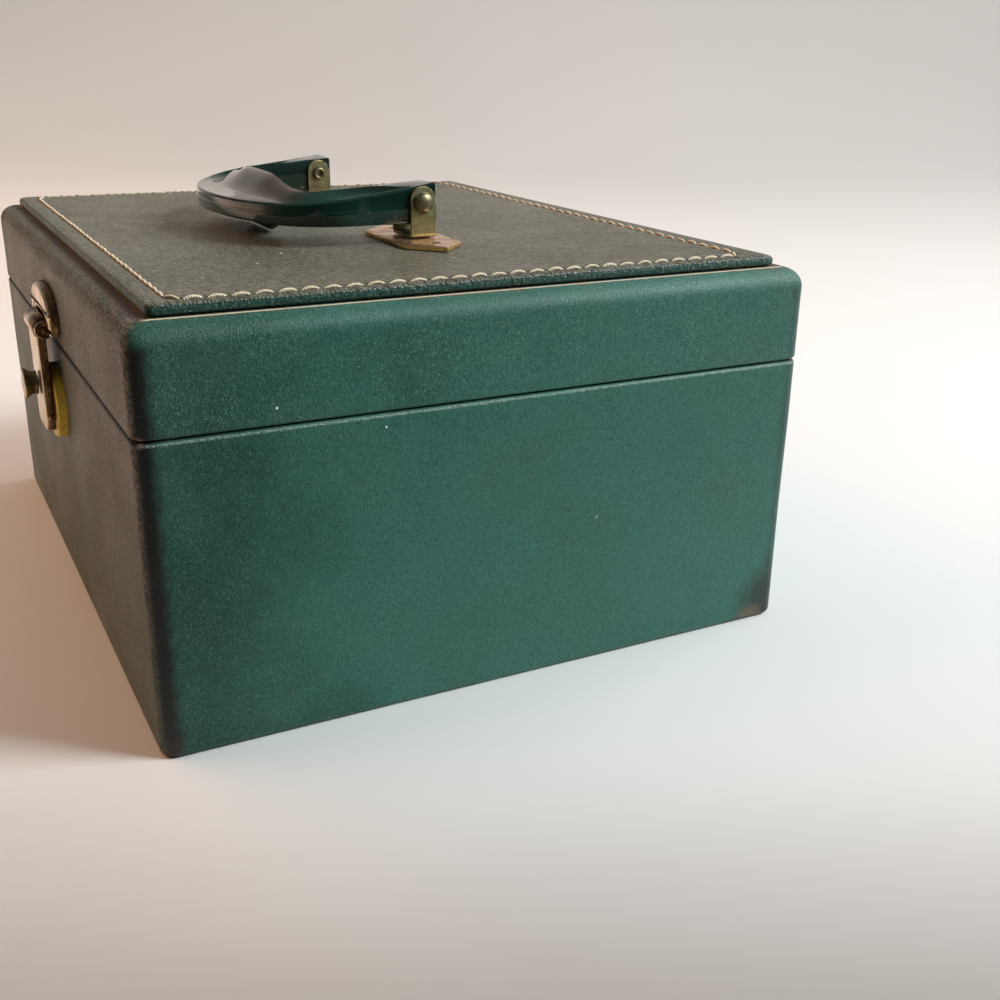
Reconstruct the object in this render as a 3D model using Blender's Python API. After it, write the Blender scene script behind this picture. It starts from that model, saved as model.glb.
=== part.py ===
"""Jewelry case: a leatherette-covered box with a hinged lid, a folding handle, a hasp with a turning
knob, and a lined inside with a lift-out tray.

Metres, +Z up. The origin is the middle of the underside. X runs along the front, the lock is on the
-Y side, and the lid is hinged along the +Y side.
"""
import math

import bmesh
import bpy
from mathutils import Matrix, Vector

# Outside of the case
CASE_WIDTH = 0.250
CASE_DEPTH = 0.208
SEAM_HEIGHT = 0.0894
LID_HEIGHT = 0.0288
SEAM_GAP = 0.0005
CORNER_RADIUS = 0.0045
INNER_CORNER_RADIUS = 0.001
LID_EDGE_RADIUS = 0.006
FOOT_EDGE_RADIUS = 0.0015
RIM_EDGE = 0.0008

# Board, covering and fits
COVERING = 0.001
WALL = 0.004
FLOOR_BOARD = 0.004
LID_BOARD = 0.0035
FIT = 0.0003
TURN_IN = 0.010
UNDERSIDE_FLANGE = 0.012

# Raised panel on the lid
PANEL_INSET = 0.0074
PANEL_THICKNESS = 0.003
PANEL_CORNER_RADIUS = 0.0025
PANEL_EDGE_ROUND = 0.001

# Linings and the collar that the lid closes over
FLOOR_PAD = 0.0015
COLLAR_THICKNESS = 0.0025
COLLAR_RISE = 0.007
COLLAR_CLEARANCE = 0.0008
LINING = 0.001
LID_PAD_THICKNESS = 0.0052
LID_PAD_CROWN = 0.001
LID_PAD_SLOPE = 0.012

# Lift-out tray
TRAY_CLEARANCE = 0.0006
TRAY_HEIGHT = 0.032
TRAY_RISE = 0.0006
TRAY_WALL = 0.0025
TRAY_FLOOR = 0.002
TRAY_CORNER_RADIUS = 0.003
LEDGE_REACH = 0.004
LEDGE_HEIGHT = 0.006
LEDGE_LENGTH = 0.160
DIVIDER_THICKNESS = 0.002
DIVIDER_HEIGHT = 0.024
RING_SECTION = 0.0523
RING_ROLL_COUNT = 3
RING_PAD_BASE = 0.005
TAB_WIDTH = 0.012
TAB_HEIGHT = 0.012
TAB_THICKNESS = 0.0016
TAB_SHOWS = 0.0018
TAB_X = -0.015

# Rear hinges
HINGE_SPACING = 0.140
HINGE_WIDTH = 0.032
HINGE_LEAF = 0.016
HINGE_METAL = 0.0012
KNUCKLE_RADIUS = 0.0025
KNUCKLE_GAP = 0.0003
LID_KNUCKLE_WIDTH = 0.0154
PIN_CLEARANCE = 0.00015
CURL_ANGLE = 285.0
OPEN_ANGLE = 100.0
STOP_TAIL = 0.0058
STOP_TAIL_METAL = 0.0012

# Handle
PIVOT_Y = 0.004
PIVOT_ABOVE_PANEL = 0.013
ARM_OUTER = 0.0551
ARM_THICKNESS = 0.0125
ARM_BEHIND_PIVOT = 0.0054
ARM_UNDER_PIVOT = 0.0067
ARM_END_HEIGHT = 0.0126
ARM_END_CHAMFER = 0.0008
ARM_LENGTH = 0.023
BOW_DEPTH = 0.0315
INNER_BOW_DEPTH = 0.0116
INNER_BOW_SQUARENESS = 0.444
LIP_HEIGHT = 0.0063
LIP_BEVEL = 0.0008
GRIP_BELOW_PIVOT = 0.0034
LEVEL_SHARE = 0.8
INNER_EDGE_ROUND = 0.0012
CREST_RISE = 0.0033
CREST_OUTSIDE = 0.035
CREST_INSIDE = 0.010
LOWER_CREST_OUTSIDE = 0.030
PARTING_RIDGE = 0.0005

# Handle brackets and rivets
EAR_WIDTH = 0.0084
EAR_METAL = 0.001
EAR_CLEARANCE = 0.0003
EAR_ABOVE_PIVOT = 0.005
EAR_BEND = 0.0014
BRACKET_LENGTH = 0.0536
BRACKET_STRAIGHT = 0.0332
BRACKET_WIDTH = 0.0198
BRACKET_INBOARD = 0.0012
BRACKET_THICKNESS = 0.0014
BRACKET_BEVEL = 0.0008
BRACKET_HOLE_SPACING = 0.0344
BRACKET_HOLE_RADIUS = 0.0019
RIVET_RADIUS = 0.0016
RIVET_CLEARANCE = 0.0002
RIVET_HEAD_RADIUS = 0.00315
RIVET_HEAD_HEIGHT = 0.0018
RIVET_TAIL_RADIUS = 0.0024
RIVET_TAIL = 0.0009

# Lock: round body on the base, plate on the lid, hinged leaf with a knob
LOCK_RADIUS = 0.0125
LOCK_BELOW_SEAM = 0.0208
LOCK_DEPTH = 0.004
LOCK_RIM = 0.0016
LOCK_FACE_RECESS = 0.0003
LOCK_BACK_METAL = 0.0009
LOCK_LIP = 0.0008
KNOB_BELOW_SEAM = 0.0144
CHANNEL_WIDTH = 0.005
CAM_WIDTH = 0.0042
CAM_LENGTH = 0.0094
CAM_THICKNESS = 0.0012
CAM_CLEARANCE = 0.0004
SPINDLE_RADIUS = 0.0016
SPINDLE_CLEARANCE = 0.00015
KNOB_RADIUS = 0.0052
KNOB_LENGTH = 0.0044
KNOB_WAIST = 0.0039
KNOB_SIDES = 8
HASP_ABOVE_SEAM = 0.0052
HASP_PROUD = 0.0039
HASP_KNUCKLE_RADIUS = 0.0034
HASP_LUG_RADIUS = 0.0029
HASP_LUG_WIDTH = 0.0022
HASP_WIDTH = 0.020
HASP_METAL = 0.001
HASP_FOOT_BELOW_SEAM = 0.0289
HASP_LOCK_CLEARANCE = 0.0004
HASP_FLANGE_DEPTH = 0.0018
HASP_FOOT_ROUND = 0.002
HASP_PIN_RADIUS = 0.00135
PLATE_HALF_WIDTH = 0.0195
PLATE_BOTTOM_ABOVE_SEAM = 0.0042
PLATE_SHOULDER_HEIGHT = 0.0080
PLATE_TOP_HEIGHT = 0.014
PLATE_SHOULDER = 0.0018
PLATE_EDGE_DEPTH = 0.0016
PLATE_DEPTH = 0.0029
PLATE_SLOPE = 0.0015

# Faces per round
CORNER_STEPS = 4
EDGE_STEPS = 5
SMALL_ROUND_STEPS = 16
LARGE_ROUND_STEPS = 40

# Heights and places worked out from the sizes above
SKIN = COVERING + FIT
INNER_SKIN = SKIN + WALL + FIT
CASE_FACE = CASE_DEPTH / 2
BASE_RIM = SEAM_HEIGHT - SEAM_GAP / 2
LID_RIM = SEAM_HEIGHT + SEAM_GAP / 2
LID_TOP = SEAM_HEIGHT + LID_HEIGHT
LID_CEILING = LID_TOP - SKIN - LID_BOARD
PANEL_TOP = LID_TOP + FIT + PANEL_THICKNESS
FLOOR_TOP = SKIN + FLOOR_BOARD
PAD_TOP = FLOOR_TOP + FIT + FLOOR_PAD
COLLAR_INSET = INNER_SKIN + COVERING + COLLAR_CLEARANCE
COLLAR_TOP = SEAM_HEIGHT + COLLAR_RISE
TRAY_INSET = COLLAR_INSET + COLLAR_THICKNESS + TRAY_CLEARANCE
TRAY_TOP = SEAM_HEIGHT + TRAY_RISE
TRAY_BOTTOM = TRAY_TOP - TRAY_HEIGHT
TRAY_INSIDE = TRAY_BOTTOM + TRAY_FLOOR
TRAY_HALF_X = CASE_WIDTH / 2 - TRAY_INSET - TRAY_WALL
TRAY_HALF_Y = CASE_DEPTH / 2 - TRAY_INSET - TRAY_WALL
HINGE_Y = CASE_FACE + FIT + KNUCKLE_RADIUS
PIVOT_Z = PANEL_TOP + PIVOT_ABOVE_PANEL
LOCK_Z = SEAM_HEIGHT - LOCK_BELOW_SEAM
LOCK_BACK = CASE_FACE - COVERING
LOCK_FRONT = LOCK_BACK + LOCK_DEPTH
LOCK_FLOOR = LOCK_BACK + LOCK_BACK_METAL
KNOB_Z = SEAM_HEIGHT - KNOB_BELOW_SEAM
HASP_Z = SEAM_HEIGHT + HASP_ABOVE_SEAM
HASP_Y = CASE_FACE + HASP_PROUD
HASP_BACK = LOCK_FRONT + HASP_LOCK_CLEARANCE
HASP_SHEET = HASP_BACK + HASP_FLANGE_DEPTH
HASP_FRONT = HASP_SHEET + HASP_METAL

# Colour, roughness and metallic value of each finish
FINISHES = {
    "leatherette": ((0.020, 0.090, 0.075), 0.45, 0.0),
    "board": ((0.45, 0.33, 0.20), 0.80, 0.0),
    "velvet": ((0.28, 0.05, 0.06), 0.95, 0.0),
    "satin": ((0.62, 0.50, 0.36), 0.50, 0.0),
    "paper": ((0.05, 0.09, 0.08), 0.80, 0.0),
    "brass": ((0.62, 0.43, 0.16), 0.32, 1.0),
    "moulded plastic": ((0.010, 0.045, 0.032), 0.12, 0.0),
    "ribbon": ((0.40, 0.08, 0.09), 0.60, 0.0),
}


def clear_objects():
    """Removes the objects that the open file holds."""
    for old in list(bpy.data.objects):
        bpy.data.objects.remove(old, do_unlink=True)


def place_of(thing):
    """World position of an object in a chain of unrotated parents."""
    place = Vector((0.0, 0.0, 0.0))
    while thing is not None:
        place += thing.location
        thing = thing.parent
    return place


def add_axis(name, at, parent=None):
    """Empty on a joint's axis, which carries what moves with it."""
    empty = bpy.data.objects.new(name, None)
    empty.empty_display_size = 0.01
    bpy.context.scene.collection.objects.link(empty)
    empty.location = Vector(at) - place_of(parent)
    empty.parent = parent
    return empty


def add_part(name, shape, finish, parent=None, sharp_angle=32.0):
    """Turns a shape in world places into an object with its own material, at its parent's origin."""
    origin = place_of(parent)
    bmesh.ops.translate(shape, vec=-origin, verts=shape.verts)
    mesh = bpy.data.meshes.new(name)
    shape.to_mesh(mesh)
    shape.free()
    mesh.shade_smooth()
    mesh.set_sharp_from_angle(angle=math.radians(sharp_angle))
    part = bpy.data.objects.new(name, mesh)
    bpy.context.scene.collection.objects.link(part)
    part.parent = parent
    if finish is not None:
        colour, roughness, metallic = FINISHES[finish]
        own = bpy.data.materials.new(name + " " + finish)
        own.use_nodes = True
        shader = own.node_tree.nodes["Principled BSDF"]
        shader.inputs["Base Color"].default_value = (*colour, 1.0)
        shader.inputs["Roughness"].default_value = roughness
        shader.inputs["Metallic"].default_value = metallic
        mesh.materials.append(own)
    return part


def combine(part, name, shape, operation="DIFFERENCE"):
    """Cuts a shape out of a part, or joins it on, with a hidden guide object that moves with the part."""
    guide = add_part(name, shape, None, parent=part)
    guide.hide_render = True
    guide.display_type = "WIRE"
    modifier = part.modifiers.new(name, "BOOLEAN")
    modifier.operation = operation
    modifier.object = guide
    modifier.solver = "EXACT"


def box(low, high, shape=None):
    """Box between two opposite corners, added to a shape or made new."""
    if shape is None:
        shape = bmesh.new()
    low = Vector(low)
    high = Vector(high)
    made = bmesh.ops.create_cube(shape, size=1.0)
    size = high - low
    bmesh.ops.scale(shape, vec=size, verts=made["verts"])
    bmesh.ops.translate(shape, vec=(low + high) / 2, verts=made["verts"])
    return shape


def prism(outline, push):
    """Flat outline pushed along a direction."""
    shape = bmesh.new()
    face = shape.faces.new([shape.verts.new(point) for point in outline])
    pushed = bmesh.ops.extrude_face_region(shape, geom=[face])
    moved = [item for item in pushed["geom"] if isinstance(item, bmesh.types.BMVert)]
    bmesh.ops.translate(shape, vec=push, verts=moved)
    bmesh.ops.recalc_face_normals(shape, faces=shape.faces)
    return shape


def loft(rings, closed=False):
    """Solid through a row of equally long rings. The ends get caps, or meet when closed."""
    shape = bmesh.new()
    loops = [[shape.verts.new(point) for point in ring] for ring in rings]
    pairs = list(zip(loops, loops[1:]))
    if closed:
        pairs.append((loops[-1], loops[0]))
    else:
        shape.faces.new(loops[0])
        shape.faces.new(loops[-1])
    for lower, upper in pairs:
        for here in range(len(lower)):
            there = (here + 1) % len(lower)
            shape.faces.new((lower[here], lower[there], upper[there], upper[here]))
    bmesh.ops.recalc_face_normals(shape, faces=shape.faces)
    return shape


def turned(profile, axis, at, steps=SMALL_ROUND_STEPS, shape=None):
    """Solid turned from (radius, distance) points that start and end on the axis."""
    made = bmesh.new()
    row = [made.verts.new((radius, 0.0, along)) for radius, along in profile]
    edges = [made.edges.new(pair) for pair in zip(row, row[1:])]
    bmesh.ops.spin(made, geom=row + edges, cent=(0, 0, 0), axis=(0, 0, 1), angle=math.tau, steps=steps)
    bmesh.ops.remove_doubles(made, verts=made.verts, dist=0.000001)
    turn = Vector((0, 0, 1)).rotation_difference(Vector(axis)).to_matrix().to_4x4()
    bmesh.ops.transform(made, matrix=Matrix.Translation(at) @ turn, verts=made.verts)
    bmesh.ops.recalc_face_normals(made, faces=made.faces)
    if shape is None:
        return made
    mesh = bpy.data.meshes.new("turned piece")
    made.to_mesh(mesh)
    made.free()
    shape.from_mesh(mesh)
    bpy.data.meshes.remove(mesh)
    return shape


def rod(radius, start, stop, steps=SMALL_ROUND_STEPS, shape=None):
    """Plain round rod between two points."""
    along = Vector(stop) - Vector(start)
    profile = ((0.0, 0.0), (radius, 0.0), (radius, along.length), (0.0, along.length))
    return turned(profile, along.normalized(), start, steps, shape)


def rounded_rectangle(half_x, half_y, radius, z):
    """Level ring of a rounded rectangle, anticlockwise from above."""
    points = []
    for corner, (side_x, side_y) in enumerate(((1, 1), (-1, 1), (-1, -1), (1, -1))):
        for step in range(CORNER_STEPS + 1):
            angle = math.radians(90.0 * (corner + step / CORNER_STEPS))
            x = side_x * (half_x - radius) + radius * math.cos(angle)
            y = side_y * (half_y - radius) + radius * math.sin(angle)
            points.append((x, y, z))
    return points


def case_ring(inset, z):
    """Ring of the case's plan, set in from its outer face. Deeper rings have tighter corners."""
    radius = max(CORNER_RADIUS - inset / 2, INNER_CORNER_RADIUS)
    return rounded_rectangle(CASE_WIDTH / 2 - inset, CASE_DEPTH / 2 - inset, radius, z)


def case_rings(section):
    """Rings for a section of (inset, height) points that runs round the case."""
    return [case_ring(inset, z) for inset, z in section]


def lid_edge(skin):
    """Section points of the lid's rounded top edge under a skin, from the top to the side."""
    radius = LID_EDGE_RADIUS - skin
    points = []
    for step in range(EDGE_STEPS + 1):
        angle = math.radians(90.0 * step / EDGE_STEPS)
        inset = LID_EDGE_RADIUS - radius * math.sin(angle)
        points.append((inset, LID_TOP - LID_EDGE_RADIUS + radius * math.cos(angle)))
    return points


def blend(start, stop, share):
    """Smooth change between two values."""
    share = min(max(share, 0.0), 1.0)
    return start + (stop - start) * share * share * (3.0 - 2.0 * share)


def make_base():
    """Board box, its covering with turned-in rim and underside flange, and the sheet it stands on."""
    rim = BASE_RIM - SKIN
    carcass = loft(case_rings([(SKIN, SKIN), (SKIN, rim), (SKIN + WALL, rim), (SKIN + WALL, FLOOR_TOP)]))
    add_part("base_carcass", carcass, "board")

    foot = FOOT_EDGE_RADIUS
    middle = foot * (1.0 - math.sqrt(0.5))
    inside = INNER_SKIN + COVERING
    section = [
        (UNDERSIDE_FLANGE, 0.0),
        (foot, 0.0),
        (middle, middle),
        (0.0, foot),
        (0.0, BASE_RIM - RIM_EDGE),
        (RIM_EDGE, BASE_RIM),
        (inside - RIM_EDGE, BASE_RIM),
        (inside, BASE_RIM - RIM_EDGE),
        (inside, BASE_RIM - TURN_IN),
        (INNER_SKIN, BASE_RIM - TURN_IN),
        (INNER_SKIN, BASE_RIM - COVERING),
        (COVERING, BASE_RIM - COVERING),
        (COVERING, COVERING),
        (UNDERSIDE_FLANGE, COVERING),
    ]
    covering = add_part("base_covering", loft(case_rings(section), closed=True), "leatherette")
    opening = rod(
        LOCK_RADIUS + FIT,
        (0, -(CASE_FACE - COVERING - FIT / 2), LOCK_Z),
        (0, -(CASE_FACE + COVERING), LOCK_Z),
        LARGE_ROUND_STEPS,
    )
    combine(covering, "lock opening", opening)

    sheet = UNDERSIDE_FLANGE + FIT
    add_part("base_bottom_sheet", loft(case_rings([(sheet, 0.0), (sheet, COVERING)])), "paper")


def make_linings():
    """Floor pad, the lined collar that stands in the base, and the ledges that carry the tray."""
    edge = INNER_SKIN
    pad = [(edge, FLOOR_TOP + FIT), (edge, PAD_TOP)]
    add_part("floor_lining", loft(case_rings(pad)), "velvet")

    outer = COLLAR_INSET
    inner = COLLAR_INSET + COLLAR_THICKNESS
    foot = PAD_TOP + FIT
    section = [
        (outer, foot),
        (outer, COLLAR_TOP - RIM_EDGE),
        (outer + RIM_EDGE, COLLAR_TOP),
        (inner - RIM_EDGE, COLLAR_TOP),
        (inner, COLLAR_TOP - RIM_EDGE),
        (inner, foot),
    ]
    add_part("inner_collar", loft(case_rings(section), closed=True), "velvet")

    face = CASE_WIDTH / 2 - inner - FIT
    top = TRAY_BOTTOM - FIT
    for side, name in ((-1, "tray_ledge_left"), (1, "tray_ledge_right")):
        near, far = sorted((side * (face - LEDGE_REACH), side * face))
        ledge = box((near, -LEDGE_LENGTH / 2, top - LEDGE_HEIGHT), (far, LEDGE_LENGTH / 2, top))
        add_part(name, ledge, "velvet")


def make_tray(seat):
    """Lift-out tray with its dividers, a pad of ring rolls and two ribbon tabs."""
    def ring(inset, z):
        radius = max(TRAY_CORNER_RADIUS - inset, INNER_CORNER_RADIUS)
        half_x = CASE_WIDTH / 2 - TRAY_INSET - inset
        half_y = CASE_DEPTH / 2 - TRAY_INSET - inset
        return rounded_rectangle(half_x, half_y, radius, z)

    soft = RIM_EDGE
    tray = loft([
        ring(0.0, TRAY_BOTTOM),
        ring(0.0, TRAY_TOP - soft),
        ring(soft, TRAY_TOP),
        ring(TRAY_WALL - soft, TRAY_TOP),
        ring(TRAY_WALL, TRAY_TOP - soft),
        ring(TRAY_WALL, TRAY_INSIDE),
    ])
    add_part("tray", tray, "velvet", seat)

    floor = TRAY_INSIDE + FIT
    half = DIVIDER_THICKNESS / 2
    end_x = TRAY_HALF_X - FIT
    end_y = TRAY_HALF_Y - FIT
    long_right = -TRAY_HALF_X + RING_SECTION + DIVIDER_THICKNESS
    long_left = long_right - DIVIDER_THICKNESS
    cross = (long_right + TRAY_HALF_X) / 2
    outline = [
        (long_left, -end_y), (long_right, -end_y), (long_right, -half), (cross - half, -half),
        (cross - half, -end_y), (cross + half, -end_y), (cross + half, -half), (end_x, -half),
        (end_x, half), (cross + half, half), (cross + half, end_y), (cross - half, end_y),
        (cross - half, half), (long_right, half), (long_right, end_y), (long_left, end_y),
    ]
    dividers = prism([(x, y, floor) for x, y in outline], (0, 0, DIVIDER_HEIGHT))
    add_part("tray_dividers", dividers, "velvet", seat)

    left = -end_x
    right = long_left - FIT
    roll = (right - left) / (2 * RING_ROLL_COUNT)
    profile = [(left, floor), (right, floor)]
    for number in reversed(range(RING_ROLL_COUNT)):
        middle = left + roll * (2 * number + 1)
        for step in range(0, 11):
            if number < RING_ROLL_COUNT - 1 and step == 0:
                continue
            angle = math.radians(18.0 * step)
            height = floor + RING_PAD_BASE + roll * math.sin(angle)
            profile.append((middle + roll * math.cos(angle), height))
    pad = prism([(x, -end_y, z) for x, z in profile], (0, 2 * end_y, 0))
    add_part("ring_rolls", pad, "velvet", seat)

    top = TRAY_TOP + TAB_SHOWS
    for side, name in ((-1, "tray_tab_front"), (1, "tray_tab_back")):
        tab = prism(tab_outline(top, side * end_y), (0, -side * TAB_THICKNESS, 0))
        add_part(name, tab, "ribbon", seat)


def tab_outline(top, y):
    """Ribbon tab as seen from the front: straight below and rounded at its free end."""
    low = top - TAB_HEIGHT
    radius = TAB_WIDTH / 2
    points = [(TAB_X - radius, y, low), (TAB_X + radius, y, low)]
    for step in range(0, 9):
        angle = math.radians(180.0 * step / 8)
        height = top - radius / 2 + radius / 2 * math.sin(angle)
        points.append((TAB_X + radius * math.cos(angle), y, height))
    return points


def make_lid(axis):
    """Board lid, its covering, the raised panel and the padded lining."""
    rim = LID_RIM + SKIN
    section = [(SKIN + WALL, LID_CEILING), (SKIN + WALL, rim), (SKIN, rim)]
    section += reversed(lid_edge(SKIN))
    add_part("lid_carcass", loft(case_rings(section)), "board", axis)

    inside = INNER_SKIN + COVERING
    section = lid_edge(0.0)
    section += [
        (0.0, LID_RIM + RIM_EDGE),
        (RIM_EDGE, LID_RIM),
        (inside - RIM_EDGE, LID_RIM),
        (inside, LID_RIM + RIM_EDGE),
        (inside, LID_RIM + TURN_IN),
        (INNER_SKIN, LID_RIM + TURN_IN),
        (INNER_SKIN, LID_RIM + COVERING),
        (COVERING, LID_RIM + COVERING),
    ]
    section += reversed(lid_edge(COVERING))
    add_part("lid_covering", loft(case_rings(section)), "leatherette", axis)

    half_x = CASE_WIDTH / 2 - PANEL_INSET
    half_y = CASE_DEPTH / 2 - PANEL_INSET
    rings = []
    for step in range(4):
        angle = math.radians(30.0 * step)
        inset = PANEL_EDGE_ROUND * (1.0 - math.cos(angle))
        z = PANEL_TOP - PANEL_EDGE_ROUND * (1.0 - math.sin(angle))
        rings.append(rounded_rectangle(half_x - inset, half_y - inset, PANEL_CORNER_RADIUS, z))
    foot = rounded_rectangle(half_x, half_y, PANEL_CORNER_RADIUS, LID_TOP + FIT)
    add_part("lid_panel", loft([foot] + rings), "leatherette", axis)

    top = LID_CEILING - FIT
    low = LID_RIM + TURN_IN + FIT
    face = top - LID_PAD_THICKNESS
    section = [(INNER_SKIN, top), (INNER_SKIN, low), (INNER_SKIN + LINING, low), (INNER_SKIN + LINING, face)]
    for share in (0.3, 0.65, 1.0):
        inset = INNER_SKIN + LINING + LID_PAD_SLOPE * share
        section.append((inset, face - LID_PAD_CROWN * math.sin(math.radians(90.0 * share))))
    add_part("lid_lining", loft(case_rings(section)), "satin", axis)


def leaf_profile(up, tail):
    """Outline of a hinge leaf about its pin: a flat that rolls round the pin into an open curl.

    up is 1 for the lid's leaf and -1 for the base's. The tail sticks out behind the pin and stops
    the lid against the base's leaf.
    """
    outer = KNUCKLE_RADIUS
    inner = KNUCKLE_RADIUS - HINGE_METAL
    steps = 15
    angles = [180.0 - CURL_ANGLE * step / steps for step in range(steps + 1)]
    arc = [(outer * math.cos(math.radians(a)), outer * math.sin(math.radians(a))) for a in angles]
    if tail:
        opened = math.radians(OPEN_ANGLE)
        reach = outer - HINGE_METAL - FIT / 3
        under = -(reach + STOP_TAIL * math.cos(opened)) / math.sin(opened)
        over = under + STOP_TAIL_METAL
        low = -over
        high = -under
        before = [point for point in arc if point[0] < 0 or point[1] > high]
        before = before[:next(i for i, p in enumerate(arc) if p[0] > 0 and p[1] <= high)]
        after = arc[len(before):]
        after = [point for point in after if point[0] < 0 or point[1] < low]
        tail_points = [
            (math.sqrt(outer ** 2 - high ** 2), high), (STOP_TAIL, high),
            (STOP_TAIL, low), (math.sqrt(outer ** 2 - low ** 2), low),
        ]
        arc = before + tail_points + after
    back = [(inner * math.cos(math.radians(a)), inner * math.sin(math.radians(a))) for a in reversed(angles)]
    points = [(-outer, -HINGE_LEAF)] + arc + back + [(-inner, -HINGE_LEAF)]
    return [(y, -up * z) for y, z in points]


def make_hinges(axis):
    """Two stop hinges on the back: base leaf, lid leaf and pin."""
    middle = LID_KNUCKLE_WIDTH / 2
    half = HINGE_WIDTH / 2
    clear = KNUCKLE_RADIUS + KNUCKLE_GAP
    reach = KNUCKLE_RADIUS + STOP_TAIL
    for side, name in ((-1, "left"), (1, "right")):
        x = side * HINGE_SPACING / 2
        base = prism([(x - half, HINGE_Y + y, SEAM_HEIGHT + z) for y, z in leaf_profile(-1, False)], (2 * half, 0, 0))
        leaf = add_part("hinge_base_leaf_" + name, base, "brass")
        notch = box(
            (x - middle - KNUCKLE_GAP, HINGE_Y - reach, SEAM_HEIGHT - clear),
            (x + middle + KNUCKLE_GAP, HINGE_Y + reach, SEAM_HEIGHT + reach),
        )
        combine(leaf, "knuckle notch base " + name, notch)

        lid = prism([(x - half, HINGE_Y + y, SEAM_HEIGHT + z) for y, z in leaf_profile(1, True)], (2 * half, 0, 0))
        leaf = add_part("hinge_lid_leaf_" + name, lid, "brass", axis)
        notches = box(
            (x - half - reach, HINGE_Y - reach, SEAM_HEIGHT - reach),
            (x - middle, HINGE_Y + reach, SEAM_HEIGHT + clear),
        )
        notches = box(
            (x + middle, HINGE_Y - reach, SEAM_HEIGHT - reach),
            (x + half + reach, HINGE_Y + reach, SEAM_HEIGHT + clear),
            notches,
        )
        combine(leaf, "knuckle notches lid " + name, notches)

        radius = KNUCKLE_RADIUS - HINGE_METAL - PIN_CLEARANCE
        pin = rod(radius, (x - half, HINGE_Y, SEAM_HEIGHT), (x + half, HINGE_Y, SEAM_HEIGHT))
        add_part("hinge_pin_" + name, pin, "brass")


def grip_station(travel):
    """Outer point, inner point, mid height and three half heights of the handle at one place along it.

    travel runs from 0 at the left arm's end over 1, where the bow starts, to 2 in the middle of the
    grip. The outer bow is a quarter ellipse and the inner bow a squarer one. The half heights are those
    of the outer lip and of the inner edge above and below. The right half is the mirror image.
    """
    arm_end = PIVOT_Y + ARM_BEHIND_PIVOT
    bow = PIVOT_Y - ARM_LENGTH
    front = bow - BOW_DEPTH
    inner_x = ARM_OUTER - ARM_THICKNESS
    angle = math.radians(90.0 * max(travel - 1.0, 0.0))
    along = max(math.cos(angle), 0.0)
    across = math.sin(angle)
    arm_y = arm_end + (bow - arm_end) * min(travel, 1.0)
    outer = (ARM_OUTER * along, arm_y - BOW_DEPTH * across)
    inner_along = inner_x * along ** INNER_BOW_SQUARENESS
    inner = (inner_along, arm_y - INNER_BOW_DEPTH * across ** INNER_BOW_SQUARENESS)
    share = (arm_end - outer[1]) / (arm_end - front)
    end_middle = PIVOT_Z - ARM_UNDER_PIVOT + ARM_END_HEIGHT / 2
    middle = end_middle + (PIVOT_Z - GRIP_BELOW_PIVOT - end_middle) * min(share / LEVEL_SHARE, 1.0)
    lip = (LIP_HEIGHT + (ARM_END_HEIGHT - LIP_HEIGHT) * max(1.0 - share, 0.0) ** 1.5) / 2
    crest = blend(0.0, CREST_RISE, (CREST_OUTSIDE - inner_along) / (CREST_OUTSIDE - CREST_INSIDE))
    rise = ARM_END_HEIGHT / 2 + crest
    rest = (LOWER_CREST_OUTSIDE - inner_along) / (LOWER_CREST_OUTSIDE - CREST_INSIDE)
    drop = blend(lip, middle - PANEL_TOP - FIT, rest)
    return outer, inner, middle, lip, rise, drop


def grip_ring(travel, side, shrink=1.0, back=0.0):
    """One cross-section of the handle: bevelled lip with a parting ridge, ledge, scoop and inner crest."""
    outer, inner, middle, lip, rise, drop = grip_station(travel)
    width = math.dist(outer, inner)
    scoop_start = blend(0.10, 0.55, travel - 0.8)
    scoop_stop = blend(0.72, 0.96, travel - 0.8)
    rows = [(0.0, LIP_BEVEL)] + [(share, 0.0) for share in (0.05, 0.2, 0.4, 0.58, 0.7, 0.82, 0.93)]
    rows.append((1.0, INNER_EDGE_ROUND))
    ring = [(-blend(0.0, PARTING_RIDGE, travel - 0.5) / width, 0.0)]
    for share, cut in rows:
        scoop = (share - scoop_start) / (scoop_stop - scoop_start)
        ring.append((share, blend(lip, rise, scoop) - cut))
    for share, cut in reversed(rows):
        scoop = (share - scoop_start) / (scoop_stop - scoop_start)
        ring.append((share, cut - blend(lip, drop, scoop)))
    points = []
    for share, height in ring:
        share = 0.5 + (share - 0.5) * shrink
        x = outer[0] + (inner[0] - outer[0]) * share
        y = outer[1] + (inner[1] - outer[1]) * share + back
        points.append((side * x, y, middle + height * shrink))
    return points


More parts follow.
